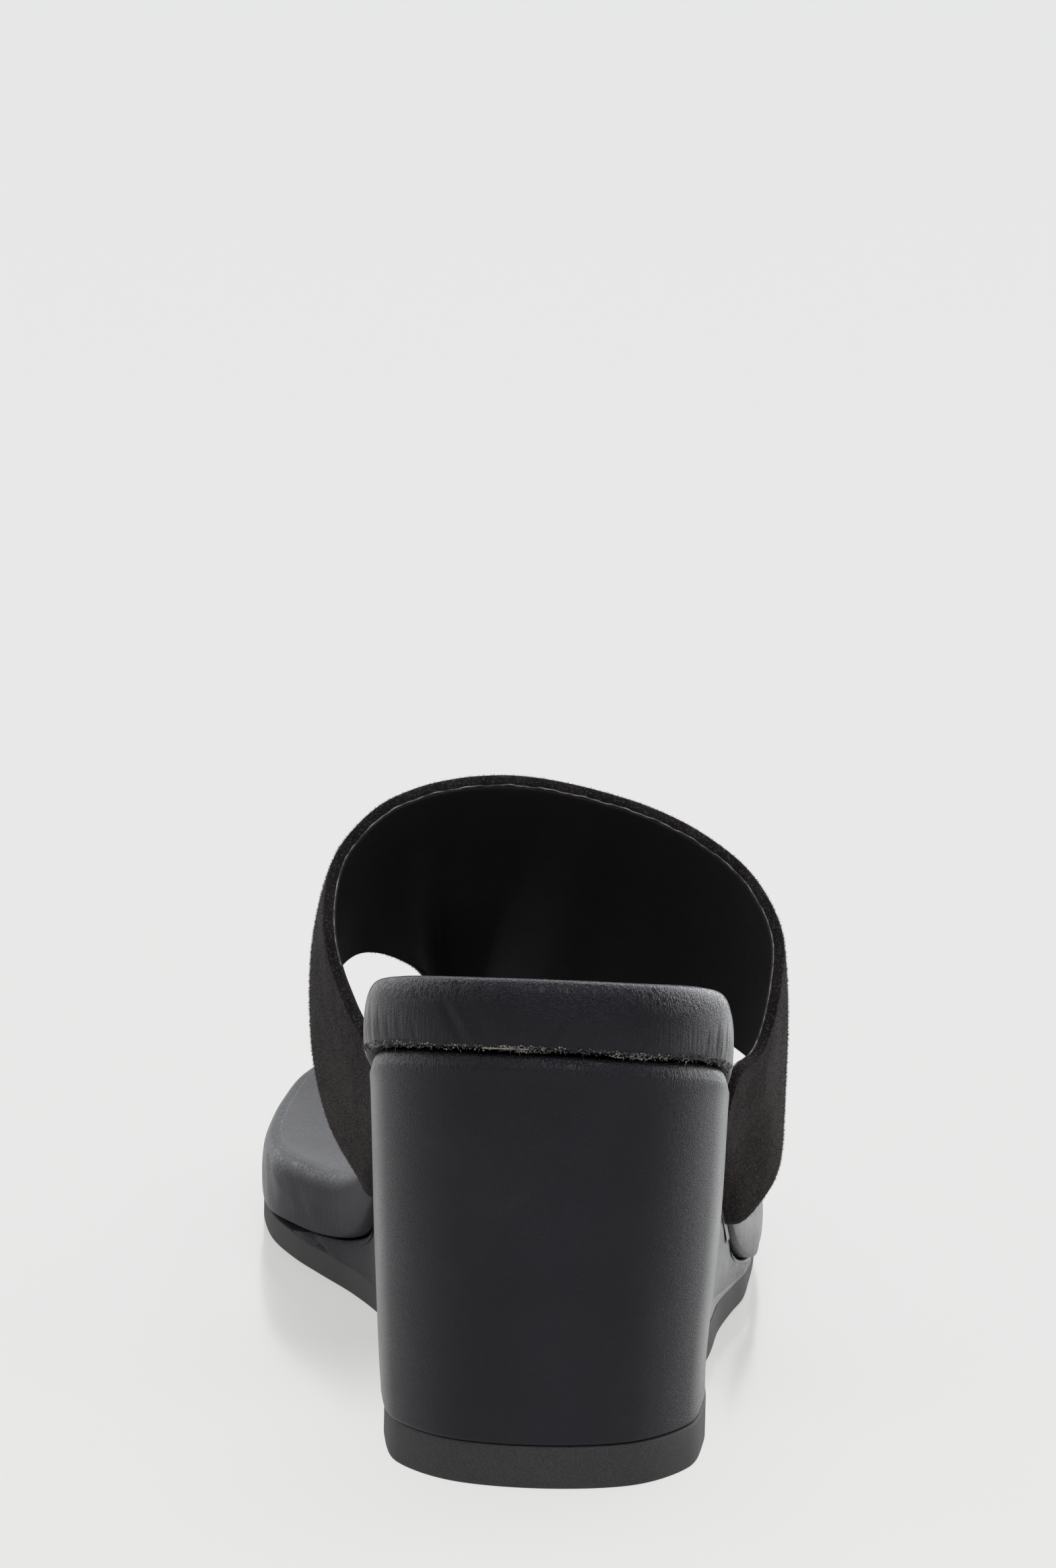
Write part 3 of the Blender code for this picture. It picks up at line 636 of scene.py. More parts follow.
# %% Footbed mesh
def make_footbed():
    rings, marks = [], []
    rounds = [-arc(last.medial), arc(last.lateral)]
    for inward, share in smooth_run(with_ends(FOOTBED_EDGE), FOOTBED_BETWEEN):
        ring, mark = [], []
        for side, around in zip(last.sides(inward), rounds):
            bed = last.bed_height(side)
            ring.append(lift(side, last.seat_height(side) + share * bed))
            mark.append(np.column_stack([around, share * bed, around * 0]))
        rings.append(ring)
        marks.append(mark)
    top = across(*rings[-1], TOP_SHARES)
    forward = np.linspace(0.0, 1.0, len(last.seat))
    heel_weight = np.clip(1.0 - forward / 0.5, 0.0, 1.0) ** 0.5
    width = np.linalg.norm(rings[-1][1] - rings[-1][0], axis=1)
    depth = (TOE_DISH + (HEEL_CUP - TOE_DISH) * heel_weight) * np.clip(width / FULL_DISH_WIDTH, 0.0, 1.0)
    top[:, :, 2] -= depth[:, None] * (1.0 - (2.0 * TOP_SHARES - 1.0) ** 2)[None, :]
    from_post = np.hypot(top[:, :, 0] - POST_X, top[:, :, 1] - POST_Y)
    top[:, :, 2] -= POST_DIMPLE * np.exp(-((from_post / DIMPLE_RADIUS) ** 2))
    bottom = across(*rings[0], TOP_SHARES)
    far = np.full((*top.shape[:2], 3), UNMARKED)
    mark_loops = rung_loops(marks, far, far)
    fields = {"round": mark_loops[:, :, 0], "up": mark_loops[:, :, 1]}
    return loft("leather_footbed", rung_loops(rings, bottom, top), fields=fields)


footbed = make_footbed()
print("footbed", len(footbed.data.polygons), "faces")

# %% [markdown]
# ## Gathers in the footbed's leather
#
# Round the heel the leather is pulled down and glued under, so it gathers into short upright folds, close
# together at the heel's corners. Towards the toes it was brushed flat by hand and shows long, slanting folds.
# Sculpting would give the same, but a list of lines can be read and changed. The footbed is padded, so it
# gives under the foot.

# %% Gathers and folds in the footbed's leather
FOOTBED_FOLDS = [
    Fold(-49.0, 0.6, -50.5, 7.5, -0.16, 0.55), Fold(-46.8, 0.6, -47.8, 8.5, 0.12, 0.55),
    Fold(-44.6, 0.6, -45.6, 6.5, -0.18, 0.5), Fold(-42.6, 0.6, -43.0, 7.5, 0.12, 0.5),
    Fold(-40.4, 0.6, -41.6, 8.0, -0.18, 0.55), Fold(-38.2, 0.6, -38.9, 5.5, 0.12, 0.5),
    Fold(-36.0, 0.6, -36.9, 6.5, -0.14, 0.5), Fold(-33.2, 0.6, -33.8, 5.0, -0.12, 0.5),
    Fold(-30.0, 0.6, -30.2, 5.5, -0.10, 0.6), Fold(-26.0, 0.6, -26.5, 4.5, -0.10, 0.5),
    Fold(-16.0, 0.6, -20.5, 9.0, -0.22, 0.8), Fold(-13.8, 0.6, -17.5, 7.5, 0.16, 0.8),
    Fold(-12.0, 0.6, -12.8, 5.0, -0.16, 0.5), Fold(-9.0, 0.6, -9.3, 3.5, -0.12, 0.5),
    Fold(-1.5, 0.6, 2.0, 6.5, -0.26, 0.7), Fold(0.6, 0.6, 3.8, 7.5, 0.16, 0.8),
    Fold(4.5, 0.6, 6.0, 4.0, -0.10, 0.6), Fold(15.0, 0.6, 16.0, 4.0, -0.10, 0.6),
    Fold(30.5, 0.6, 31.0, 5.0, -0.12, 0.5), Fold(34.2, 0.6, 34.6, 6.5, -0.16, 0.5),
    Fold(36.6, 0.6, 36.6, 6.0, 0.10, 0.5), Fold(38.6, 0.6, 39.0, 7.5, -0.16, 0.5),
    Fold(41.0, 0.6, 41.4, 6.0, -0.14, 0.5), Fold(43.4, 0.6, 44.0, 6.5, -0.14, 0.5),
    Fold(-190.0, 9.5, -181.0, 4.0, -0.55, 1.5), Fold(-184.0, 10.0, -176.0, 5.5, 0.35, 1.5),
    Fold(-182.0, 6.5, -171.0, 3.0, -0.45, 1.3), Fold(-174.0, 9.0, -164.0, 5.0, -0.40, 1.4),
    Fold(-196.0, 8.0, -190.0, 3.0, -0.35, 1.3), Fold(-203.0, 9.5, -199.0, 4.0, -0.30, 1.3),
    Fold(-166.0, 6.5, -157.0, 4.0, 0.25, 1.5), Fold(-210.0, 8.5, -207.5, 3.0, -0.25, 1.2),
    Fold(150.0, 9.0, 157.0, 4.0, -0.30, 1.4), Fold(158.0, 8.0, 166.0, 4.5, -0.30, 1.3),
    Fold(170.0, 9.0, 178.0, 5.0, -0.25, 1.4),
]
push(footbed, fold_heights(FOOTBED_FOLDS, field(footbed, "round"), field(footbed, "up")))
print(len(FOOTBED_FOLDS), "folds in the footbed")

# %% [markdown]
# ## The band's face
#
# Twenty ribs cross the band from its collar to its front edge, and three more on each side follow it into the
# seam. A smooth surface runs through them. It is made coarse first, so that the wall's directions can be
# evened out where ribs crowd together at the tongue, and is then refined, with the directions, to a fine
# grid.

# %% Ribs of the band
BAND_WALL, SKIVED_WALL = 2.4, 1.4
Tuck = namedtuple("Tuck", "collar_out collar_below front_out front_below wall")
TUCK_END = Tuck(-8.6, 2.2, -8.6, 2.6, SKIVED_WALL)
MEDIAL_TUCK = [TUCK_END, Tuck(-4.4, 2.2, -4.2, 2.6, SKIVED_WALL), Tuck(0.9, 1.3, 0.9, 1.8, 1.7)]
LATERAL_TUCK = [Tuck(0.9, 1.3, 1.4, 2.8, 1.7), Tuck(-4.4, 2.2, -4.0, 2.7, SKIVED_WALL), TUCK_END]
TUCK_COLLAR_Y, TUCK_FRONT_Y = 67.0, 92.5

Rib = namedtuple("Rib", "collar_x collar_y collar_z front_x front_y front_z crown")
RIBS = [
    Rib(-32.5, 69.5, 50.5, -35.5, 95.5, 29.7, 0.3),  # medial side
    Rib(-33.6, 75.5, 58.0, -40.3, 104.0, 35.5, 0.8),
    Rib(-37.4, 80.5, 64.0, -43.3, 112.0, 42.0, 1.4),
    Rib(-41.2, 87.0, 72.0, -45.0, 120.5, 50.5, 1.8),
    Rib(-42.5, 93.7, 80.0, -43.6, 129.0, 58.5, 2.2),
    Rib(-40.6, 100.6, 88.6, -39.0, 135.5, 62.6, 2.6),
    Rib(-34.0, 106.5, 95.6, -32.6, 140.5, 61.7, 3.0),  # over the big toe
    Rib(-26.5, 109.8, 99.0, -26.0, 147.5, 56.0, 3.2),
    Rib(-19.0, 111.3, 100.7, -24.4, 163.0, 46.5, 3.0),  # the tongue
    Rib(-12.5, 111.9, 101.3, -24.8, 187.5, 23.5, 2.4),
    Rib(-7.5, 111.9, 101.3, -17.0, 187.5, 23.5, 2.6),
    Rib(-1.0, 111.4, 100.7, -10.8, 163.0, 46.0, 3.0),
    Rib(8.0, 110.3, 99.0, -2.0, 151.5, 51.4, 3.4),  # over the small toes
    Rib(17.5, 108.6, 96.4, 9.0, 146.5, 53.2, 3.4),
    Rib(27.0, 105.3, 92.3, 24.5, 138.0, 51.6, 3.0),
    Rib(35.6, 100.0, 86.2, 36.0, 128.0, 47.6, 2.2),
    Rib(40.9, 92.0, 77.4, 41.6, 117.5, 43.6, 1.2),
    Rib(40.3, 83.2, 67.2, 42.4, 107.0, 38.2, 0.5),
    Rib(37.6, 76.8, 59.3, 41.4, 99.0, 31.6, 0.4),
    Rib(33.4, 70.3, 56.4, 38.0, 94.4, 26.6, 0.3),  # lateral side
]
RIB_STEPS, BAND_COLUMNS, NORMAL_PASSES = 3, 11, 8
RIB_REFINE, COLUMN_REFINE = 5, 6
# The band is crowned away from a line this far behind it and this high
CROWN_BEHIND, CROWN_HEIGHT = 18.0, 30.0
print(len(RIBS), "ribs over the instep,", len(MEDIAL_TUCK) + len(LATERAL_TUCK), "in the seams")

# %% Surface of the band
def tuck_rib(row, side):
    """Outer points of one rib of the band's end, which follows the footbed's side and seat."""
    share = np.linspace(0.0, 1.0, BAND_COLUMNS)
    y = TUCK_COLLAR_Y + share * (TUCK_FRONT_Y - TUCK_COLLAR_Y)
    outward = row.collar_out + share * (row.front_out - row.collar_out)
    below = row.collar_below + share * (row.front_below - row.collar_below)
    flat = np.column_stack([last.side_at(side, y) + side * outward, y])
    return lift(flat, last.seat_height(flat) - below)


def wall_rib(row):
    """Outer points of one rib over the instep, crowned away from the foot."""
    start = np.array([row.collar_x, row.collar_y, row.collar_z])
    end = np.array([row.front_x, row.front_y, row.front_z])
    share = np.linspace(0.0, 1.0, BAND_COLUMNS)[:, None]
    line = end - start
    away = (start + end) / 2 - np.array([0.0, (start[1] + end[1]) / 2 - CROWN_BEHIND, CROWN_HEIGHT])
    away -= line * away.dot(line) / line.dot(line)
    return start + line * share + unit(away) * row.crown * 4 * share * (1 - share)


def refined(grid):
    """A grid of rows with a smooth run put through it both ways."""
    grid = smooth_run(with_ends(grid), RIB_REFINE)
    return smooth_run(with_ends(grid.swapaxes(0, 1)), COLUMN_REFINE).swapaxes(0, 1)


def band_face():
    """Outer points of the band, the direction into its wall, and the wall's thickness at each rib."""
    ribs = [tuck_rib(row, -1) for row in MEDIAL_TUCK] + [wall_rib(row) for row in RIBS]
    ribs += [tuck_rib(row, 1) for row in LATERAL_TUCK]
    walls = [row.wall for row in MEDIAL_TUCK] + [BAND_WALL] * len(RIBS) + [row.wall for row in LATERAL_TUCK]
    outer = smooth_run(with_ends(ribs), RIB_STEPS)
    wall = smooth_run([walls[0], *walls, walls[-1]], RIB_STEPS)
    inward = unit(np.cross(np.gradient(outer, axis=1), np.gradient(outer, axis=0)))
    for _ in range(NORMAL_PASSES):
        around = np.pad(inward, ((1, 1), (1, 1), (0, 0)), mode="edge")
        inward = unit(around[:-2, 1:-1] + around[2:, 1:-1] + around[1:-1, :-2] + around[1:-1, 2:] + inward)
    wall = smooth_run(with_ends(wall), RIB_REFINE)
    return refined(outer), unit(refined(inward)), wall / BAND_WALL


band_outer, band_inward, band_wall = band_face()
print("band face", band_outer.shape[0], "ribs of", band_outer.shape[1], "points")

# %% [markdown]
# ## Suede, lining and the line between them
#
# The band is two skins: suede outside and a smooth lining inside, glued together and trimmed flush. At the
# collar the cut shows both, with a thin pale line where the lining ends. Each skin is a shell between two
# depths of the band's wall, and the pale line is a fine cord that follows the collar a little unevenly.

# %% Skins of the band
SUEDE_DEPTH = (0.0, 1.92)
LINING_DEPTH = (1.98, 2.4)
EDGE_LINE_DEPTH, EDGE_LINE_RADIUS, EDGE_LINE_WAVER = 1.98, 0.14, 0.14
SUEDE_RIM, LINING_RIM, LINING_SET_BACK = (0.34, 7), (0.3, 3), 0.12  # how far a cut edge bulges, and its points
SQUARENESS = 0.4  # of the cut edges: 1 is round
CUT_MARK, INNER_MARK, BESIDE_CUT = -1.0, 99.0, 0.2  # values of the distance to an edge, in mm
SEAM_ROWS = 2 * RIB_STEPS * RIB_REFINE  # rows at each end of the band that lie in the seam
LINE_START_ROW = 88  # below it, on the big toe's side, the two skins meet without a line


def skin(name, depths, bulge, rim_points, set_back=0.0):
    """A closed shell between two depths of the band's wall, with rounded cut edges."""
    near, far = [band_outer + band_inward * (depth * band_wall)[:, None, None] for depth in depths]
    thick = (depths[1] - depths[0]) * band_wall[:, None]
    back, front = unit(near[:, 0] - near[:, 1]), unit(near[:, -1] - near[:, -2])
    parts = []
    for edge_near, edge_far, way in ((near[:, 0], far[:, 0], back), (near[:, -1], far[:, -1], front)):
        rim = []
        for turn in np.linspace(0.0, np.pi, rim_points + 2)[1:-1]:
            share = (1 - np.cos(turn)) / 2
            out = bulge * np.sin(turn) ** SQUARENESS * thick - set_back
            rim.append(edge_near * (1 - share) + edge_far * share + way * out)
        parts.append(np.stack(rim, axis=1))
    loops = np.concatenate([near, parts[1], far[:, ::-1], parts[0][:, ::-1]], axis=1)
    # From the nearest edge in mm, below zero on the cut edges, and how much nap and fray there is
    steps = np.linalg.norm(np.diff(near, axis=1), axis=2)
    from_collar = np.pad(np.cumsum(steps, axis=1), ((0, 0), (1, 0)))
    edge = np.full(loops.shape[:2], CUT_MARK)
    edge[:, : near.shape[1]] = np.minimum(from_collar, from_collar[:, -1:] - from_collar)
    inner = slice(near.shape[1] + rim_points, near.shape[1] + rim_points + far.shape[1])
    edge[:, inner] = INNER_MARK
    seen = np.zeros(len(loops))
    seen[SEAM_ROWS:-SEAM_ROWS] = 1.0
    outer_face = np.zeros(loops.shape[:2])
    outer_face[:, : near.shape[1]] = 1.0
    fields = {"edge": edge, "nap": outer_face * seen[:, None], "fray": (edge < BESIDE_CUT) * seen[:, None]}
    return loft(name, loops, caps=True, fields=fields)


suede = skin("suede_band", SUEDE_DEPTH, *SUEDE_RIM)
lining = skin("band_lining", LINING_DEPTH, *LINING_RIM, set_back=LINING_SET_BACK)
print("suede", len(suede.data.polygons), "faces, lining", len(lining.data.polygons), "faces")

# %% [markdown]
# ## The pale line and the heel's thread
#
# Where the lining was trimmed, its pale inside shows as a thin line along the collar. In the seam under the
# heel a shred of leather has come loose and lies along the edge like a thread. Both could be painted on, but
# a fine round cord catches the light as the real ones do. It wavers a little, because no line cut by hand is
# straight.

# %% Pale line along the collar
CORD_SIDES = 8
WAVES = ((0.9, 1.0, 0.0), (2.3, 0.8, 1.0))  # radians per mm, height and start of each wave that makes it waver


def cord(name, path, back, radius, waver):
    """A thin cord along a path, a little uneven in the direction given."""
    side = unit(np.cross(np.gradient(path, axis=0), back))
    run = arc(path)[:, None]
    path = path + back * waver * sum(height * np.sin(run * pace + start) for pace, height, start in WAVES)
    turns = np.linspace(0.0, 2 * np.pi, CORD_SIDES, endpoint=False)
    loops = [path + radius * (back * np.cos(turn) + side * np.sin(turn)) for turn in turns]
    return loft(name, np.stack(loops, axis=1), caps=True)


seen_rows = slice(LINE_START_ROW, len(band_outer) - SEAM_ROWS)
back = unit(band_outer[:, 0] - band_outer[:, 1])
line_path = band_outer[:, 0] + band_inward[:, 0] * (EDGE_LINE_DEPTH * band_wall)[:, None]
line_path = (line_path + back * EDGE_LINE_RADIUS)[seen_rows]
collar_line = cord("lining_edge", line_path, back[seen_rows], EDGE_LINE_RADIUS, EDGE_LINE_WAVER)
print("collar line", round(float(arc(line_path)[-1])), "mm long")

# %% Leather thread along the heel's seam
THREAD_START, THREAD_END = -12.9, -4.4  # from the heel's middle, in mm
THREAD_INSET, THREAD_ABOVE, THREAD_RADIUS, THREAD_WAVER = 0.35, 0.1, 0.14, 0.04


def heel_path(inset, above_mm, start, end):
    """Points round the heel above the footbed's underside, between two distances from its middle."""
    sides = last.sides(inset)
    flat = np.concatenate([sides[0][:0:-1], sides[1]])
    around = np.concatenate([-arc(last.medial)[:0:-1], arc(last.lateral)])
    flat = flat[(around >= start) & (around <= end)]
    return lift(flat, last.seat_height(flat) + above_mm)


thread_path = heel_path(THREAD_INSET, THREAD_ABOVE, THREAD_START, THREAD_END)
backward = np.broadcast_to(np.array([0.0, -1.0, 0.0]), thread_path.shape)
heel_thread = cord("heel_thread", thread_path, backward, THREAD_RADIUS, THREAD_WAVER)
print("heel thread", round(float(arc(thread_path)[-1])), "mm long")

# %% [markdown]
# ## The toe post
#
# A strip of the same leather rolled on itself. It comes up through the footbed, leans back and ends under the
# tongue. It is lofted from ovals, with a fine groove where the roll closes.

# %% Toe post
POST_HALF_WIDTH, POST_HALF_LENGTH = 2.7, 3.6
# Along the foot, height and backward slope of the ovals, in mm
POST_PATH = [
    (186.0, 5.25, 0.0), (186.0, 11.0, 0.0), (185.9, 15.5, 0.15), (185.3, 19.2, 0.6), (184.6, 22.7, 1.0),
]
POST_SIDES, POST_BETWEEN = 48, 8
GROOVE_TURN, GROOVE_WIDTH, GROOVE_DEPTH = 4.4, 0.12, 0.10  # its place and width as angles, its depth as a share


def make_post():
    turns = np.linspace(0.0, 2 * np.pi, POST_SIDES, endpoint=False)
    groove = 1.0 - GROOVE_DEPTH * np.exp(-(((turns - GROOVE_TURN) / GROOVE_WIDTH) ** 2))
    loops = []
    for y, z, slope in smooth_run(with_ends(POST_PATH), POST_BETWEEN):
        ahead = POST_HALF_LENGTH * np.sin(turns) * groove
        sideways = POST_HALF_WIDTH * np.cos(turns) * groove
        loops.append(np.column_stack([POST_X + sideways, y + ahead, z - slope * ahead]))
    return loft("rolled_toe_post", loops, caps=True)


post = make_post()
print("post", len(post.data.polygons), "faces")

# %% [markdown]
# ## Pieces and solids
#
# Each piece rides on the shoe's one body. A piece that stands for a CAD solid is shown in its place. The
# two fine cords stand for no solid of their own.

# %% Who stands for which solid
PLACES = [
    (outsole, "outsole", "outsole_rubber"), (wedge, "wedge", "wedge_leather"),
    (footbed, "footbed", "footbed_leather"), (suede, "upper", "upper_suede"),
    (lining, "upper", "upper_suede"), (collar_line, None, "upper_suede"),
    (heel_thread, None, "footbed_leather"), (post, "toe_post", "post_leather"),
]
for piece, node, slot in PLACES:
    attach(piece, "root")
    if node:
        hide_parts(node)
print(len(PLACES), "pieces ride on the root")

# %% [markdown]
# ## Leather, suede, lining and rubber
#
# Each surface on the sandal is black, so only texture and gloss tell them apart. The leather has a fine
# pebbled grain that shows where light grazes it, and it creases finely where it bends. That grain is a node
# group, used by the leather pieces and the lining with their own values. Image textures would be the other
# way, but nodes stay sharp at any distance and need no unwrapping. Scales are in waves per metre.

# %% Grain of the leather
BEND_SCALE, BEND_REACH = 900.0, 0.0004  # how the rows of pebbles wander, the reach in metres
PORE_SCALE, RIDGE_SCALE, CLOUD_SCALE, TONE_SCALE = 5200.0, 1000.0, 55.0, 38.0
PEBBLE_FURROW, PEBBLE_HEIGHT, PORE_HEIGHT = 0.22, 0.55, 0.35
RIDGE_WIDTH, CREASE_HEIGHT = 0.09, 2.4


def leather_grain():
    """Pebbles and pores of smooth leather, with fine creases where a mask asks for them."""
    tree, given, out = new_group(
        "leather_grain",
        "ShaderNodeTree",
        [("Place", "NodeSocketVector", None), ("Pebble scale", "NodeSocketFloat", 2300.0),
         ("Creasing", "NodeSocketFloat", 0.0)],
        [("Height", "NodeSocketFloat"), ("Roughness shift", "NodeSocketFloat"), ("Tone", "NodeSocketFloat")],
    )
    bend = noise(tree, given["Place"], BEND_SCALE, 2.0)
    offset = place(tree, "ShaderNodeCombineXYZ", {0: bend, 1: bend, 2: bend}).outputs[0]
    small = place(tree, "ShaderNodeVectorMath", {0: offset, 3: BEND_REACH}, operation="SCALE").outputs[0]
    bent = place(tree, "ShaderNodeVectorMath", {0: given["Place"], 1: small}, operation="ADD").outputs[0]
    sockets = {"Vector": bent, "Scale": given["Pebble scale"]}
    pebbles = place(tree, "ShaderNodeTexVoronoi", sockets, feature="DISTANCE_TO_EDGE").outputs["Distance"]
    pebble = math(tree, "MULTIPLY", ramp(tree, pebbles, 0.0, PEBBLE_FURROW), PEBBLE_HEIGHT)
    pores = math(tree, "MULTIPLY", noise(tree, given["Place"], PORE_SCALE, 1.0), PORE_HEIGHT)
    sockets = {"Vector": given["Place"], "Scale": (1.0, 1.0, 0.35)}
    stretched = place(tree, "ShaderNodeMapping", sockets).outputs[0]
    ridges = math(tree, "ABSOLUTE", math(tree, "SUBTRACT", noise(tree, stretched, RIDGE_SCALE, 3.0, 0.6), 0.5))
    crease = math(tree, "MULTIPLY", ramp(tree, ridges, 0.0, RIDGE_WIDTH), given["Creasing"])
    crease = math(tree, "MULTIPLY", crease, CREASE_HEIGHT)
    tree.links.new(math(tree, "ADD", math(tree, "ADD", pebble, pores), crease), out["Height"])
    cloud = noise(tree, given["Place"], CLOUD_SCALE, 3.0)
    tree.links.new(math(tree, "MULTIPLY", math(tree, "SUBTRACT", cloud, 0.5), 0.16), out["Roughness shift"])
    tree.links.new(ramp(tree, noise(tree, given["Place"], TONE_SCALE, 4.0), 0.3, 0.7), out["Tone"])
    return tree


GRAIN = leather_grain()
print("group", GRAIN.name, "with", len(GRAIN.nodes), "nodes")

# %% Nap of the suede, and handling
CLUMP_SCALE, STROKE_SCALE, FLECK_SCALE = 330.0, 190.0, 2400.0
PATCH_SCALE, SPECK_SCALE = 70.0, 1400.0


def suede_nap():
    """The brushed face of suede: tufts, and darker and lighter strokes where the nap lies over."""
    tree, given, out = new_group(
        "suede_nap",
        "ShaderNodeTree",
        [("Place", "NodeSocketVector", None), ("Tuft scale", "NodeSocketFloat", 1500.0)],
        [("Height", "NodeSocketFloat"), ("Stroke", "NodeSocketFloat"), ("Fleck", "NodeSocketFloat")],
    )
    tufts = noise(tree, given["Place"], given["Tuft scale"], 3.0, 0.65)
    clumps = noise(tree, given["Place"], CLUMP_SCALE, 3.0, 0.6)
    tree.links.new(math(tree, "ADD", tufts, math(tree, "MULTIPLY", clumps, 1.1)), out["Height"])
    sockets = {"Vector": given["Place"], "Scale": (1.0, 0.5, 0.32), "Rotation": (0.0, 0.3, 0.0)}
    drawn = place(tree, "ShaderNodeMapping", sockets).outputs[0]
    tree.links.new(ramp(tree, noise(tree, drawn, STROKE_SCALE, 4.0, 0.62), 0.34, 0.68), out["Stroke"])
    tree.links.new(ramp(tree, noise(tree, given["Place"], FLECK_SCALE, 2.0), 0.5, 0.72), out["Fleck"])
    return tree


def handling():
    """Dust and light rubbing, as a mask in small patches."""
    tree, given, out = new_group(
        "handling",
        "ShaderNodeTree",
        [("Place", "NodeSocketVector", None), ("Amount", "NodeSocketFloat", 0.5)],
        [("Mask", "NodeSocketFloat")],
    )
    patches = ramp(tree, noise(tree, given["Place"], PATCH_SCALE, 5.0, 0.7), 0.48, 0.75)
    specks = ramp(tree, noise(tree, given["Place"], SPECK_SCALE, 2.0), 0.62, 0.78)
    mask = math(tree, "MULTIPLY", patches, math(tree, "ADD", math(tree, "MULTIPLY", specks, 0.7), 0.3))
    tree.links.new(math(tree, "MULTIPLY", mask, given["Amount"]), out["Mask"])
    return tree


NAP, HANDLING = suede_nap(), handling()
print("groups", NAP.name, "and", HANDLING.name)

# %% A material's start
def start_material(name, colour, roughness, specular):
    """A material with its Principled shader set, its tree and the piece's own coordinates."""
    material = bpy.data.materials.new(name)
    material.use_nodes = True
    tree = material.node_tree
    shader = tree.nodes["Principled BSDF"]
    shader.inputs["Base Color"].default_value = (*colour, 1.0)
    shader.inputs["Roughness"].default_value = roughness
    shader.inputs["Specular IOR Level"].default_value = specular
    return material, tree, shader, place(tree, "ShaderNodeTexCoord").outputs["Object"]


def use_group(tree, group, **sockets):
    made = tree.nodes.new("ShaderNodeGroup")
    made.node_tree = group
    for key, value in sockets.items():
        label = key.replace("_", " ")
        if isinstance(value, bpy.types.NodeSocket):
            tree.links.new(value, made.inputs[label])
        else:
            made.inputs[label].default_value = value
    return made.outputs


def mix_colour(tree, share, dark, light):
    """A colour between two, by a mask."""
    made = place(tree, "ShaderNodeMix", {0: share}, data_type="RGBA")
    for index, colour in ((6, dark), (7, light)):
        if isinstance(colour, bpy.types.NodeSocket):
            tree.links.new(colour, made.inputs[index])
        else:
            made.inputs[index].default_value = (*colour, 1.0)
    return made.outputs[2]


def bump(tree, shader, height, distance_mm, strength):
    sockets = {"Height": height, "Distance": distance_mm * MM, "Strength": strength}
    tree.links.new(place(tree, "ShaderNodeBump", sockets).outputs[0], shader.inputs["Normal"])


print("material helpers ready")

# %% [markdown]
# ## The leather
#
# Finished black leather is smooth, a little glossy and faintly violet in its reflections. Its fine creases
# lie near the seams, and the gathers in the footbed's side are too many to place one by one, so a noise drawn
# out up the side adds the finest of them. On the big toe's side the leather is brushed matt, and round the
# heel's top edge it is polished by wear: both are masks on its roughness. Dust and light rubbing come last.

# %% Leather
LEATHER_DARK, LEATHER_LIGHT = (0.0056, 0.0048, 0.0066), (0.0092, 0.0080, 0.0106)
DUST = (0.035, 0.033, 0.030)
GATHERS = 6.0  # height of the gathers in the footbed's side, in grains
GATHER_SCALE, GATHER_REACH = 1.7, (9.5, 1.5)  # waves per mm round the edge, and where they fade up the side
RUBBED_MATT = 0.42  # how much rougher the leather is on the big toe's side
RUBBED_BACK, RUBBED_FRONT, RUBBED_SIDE = (-0.055, -0.03), (0.048, 0.022), (-0.018, -0.028)  # in metres
RUBBED_TOP = (12.5, 8.5)  # in mm up the footbed's side
POLISHED_GLOSS = 0.14  # how much smoother it is round the heel's top edge
POLISHED_UP, POLISHED_BACK = (8.0, 11.0), (-0.08, -0.1)
LEATHER_GLEAM = (0.92, 0.90, 1.0, 1.0)  # the tint of its reflections


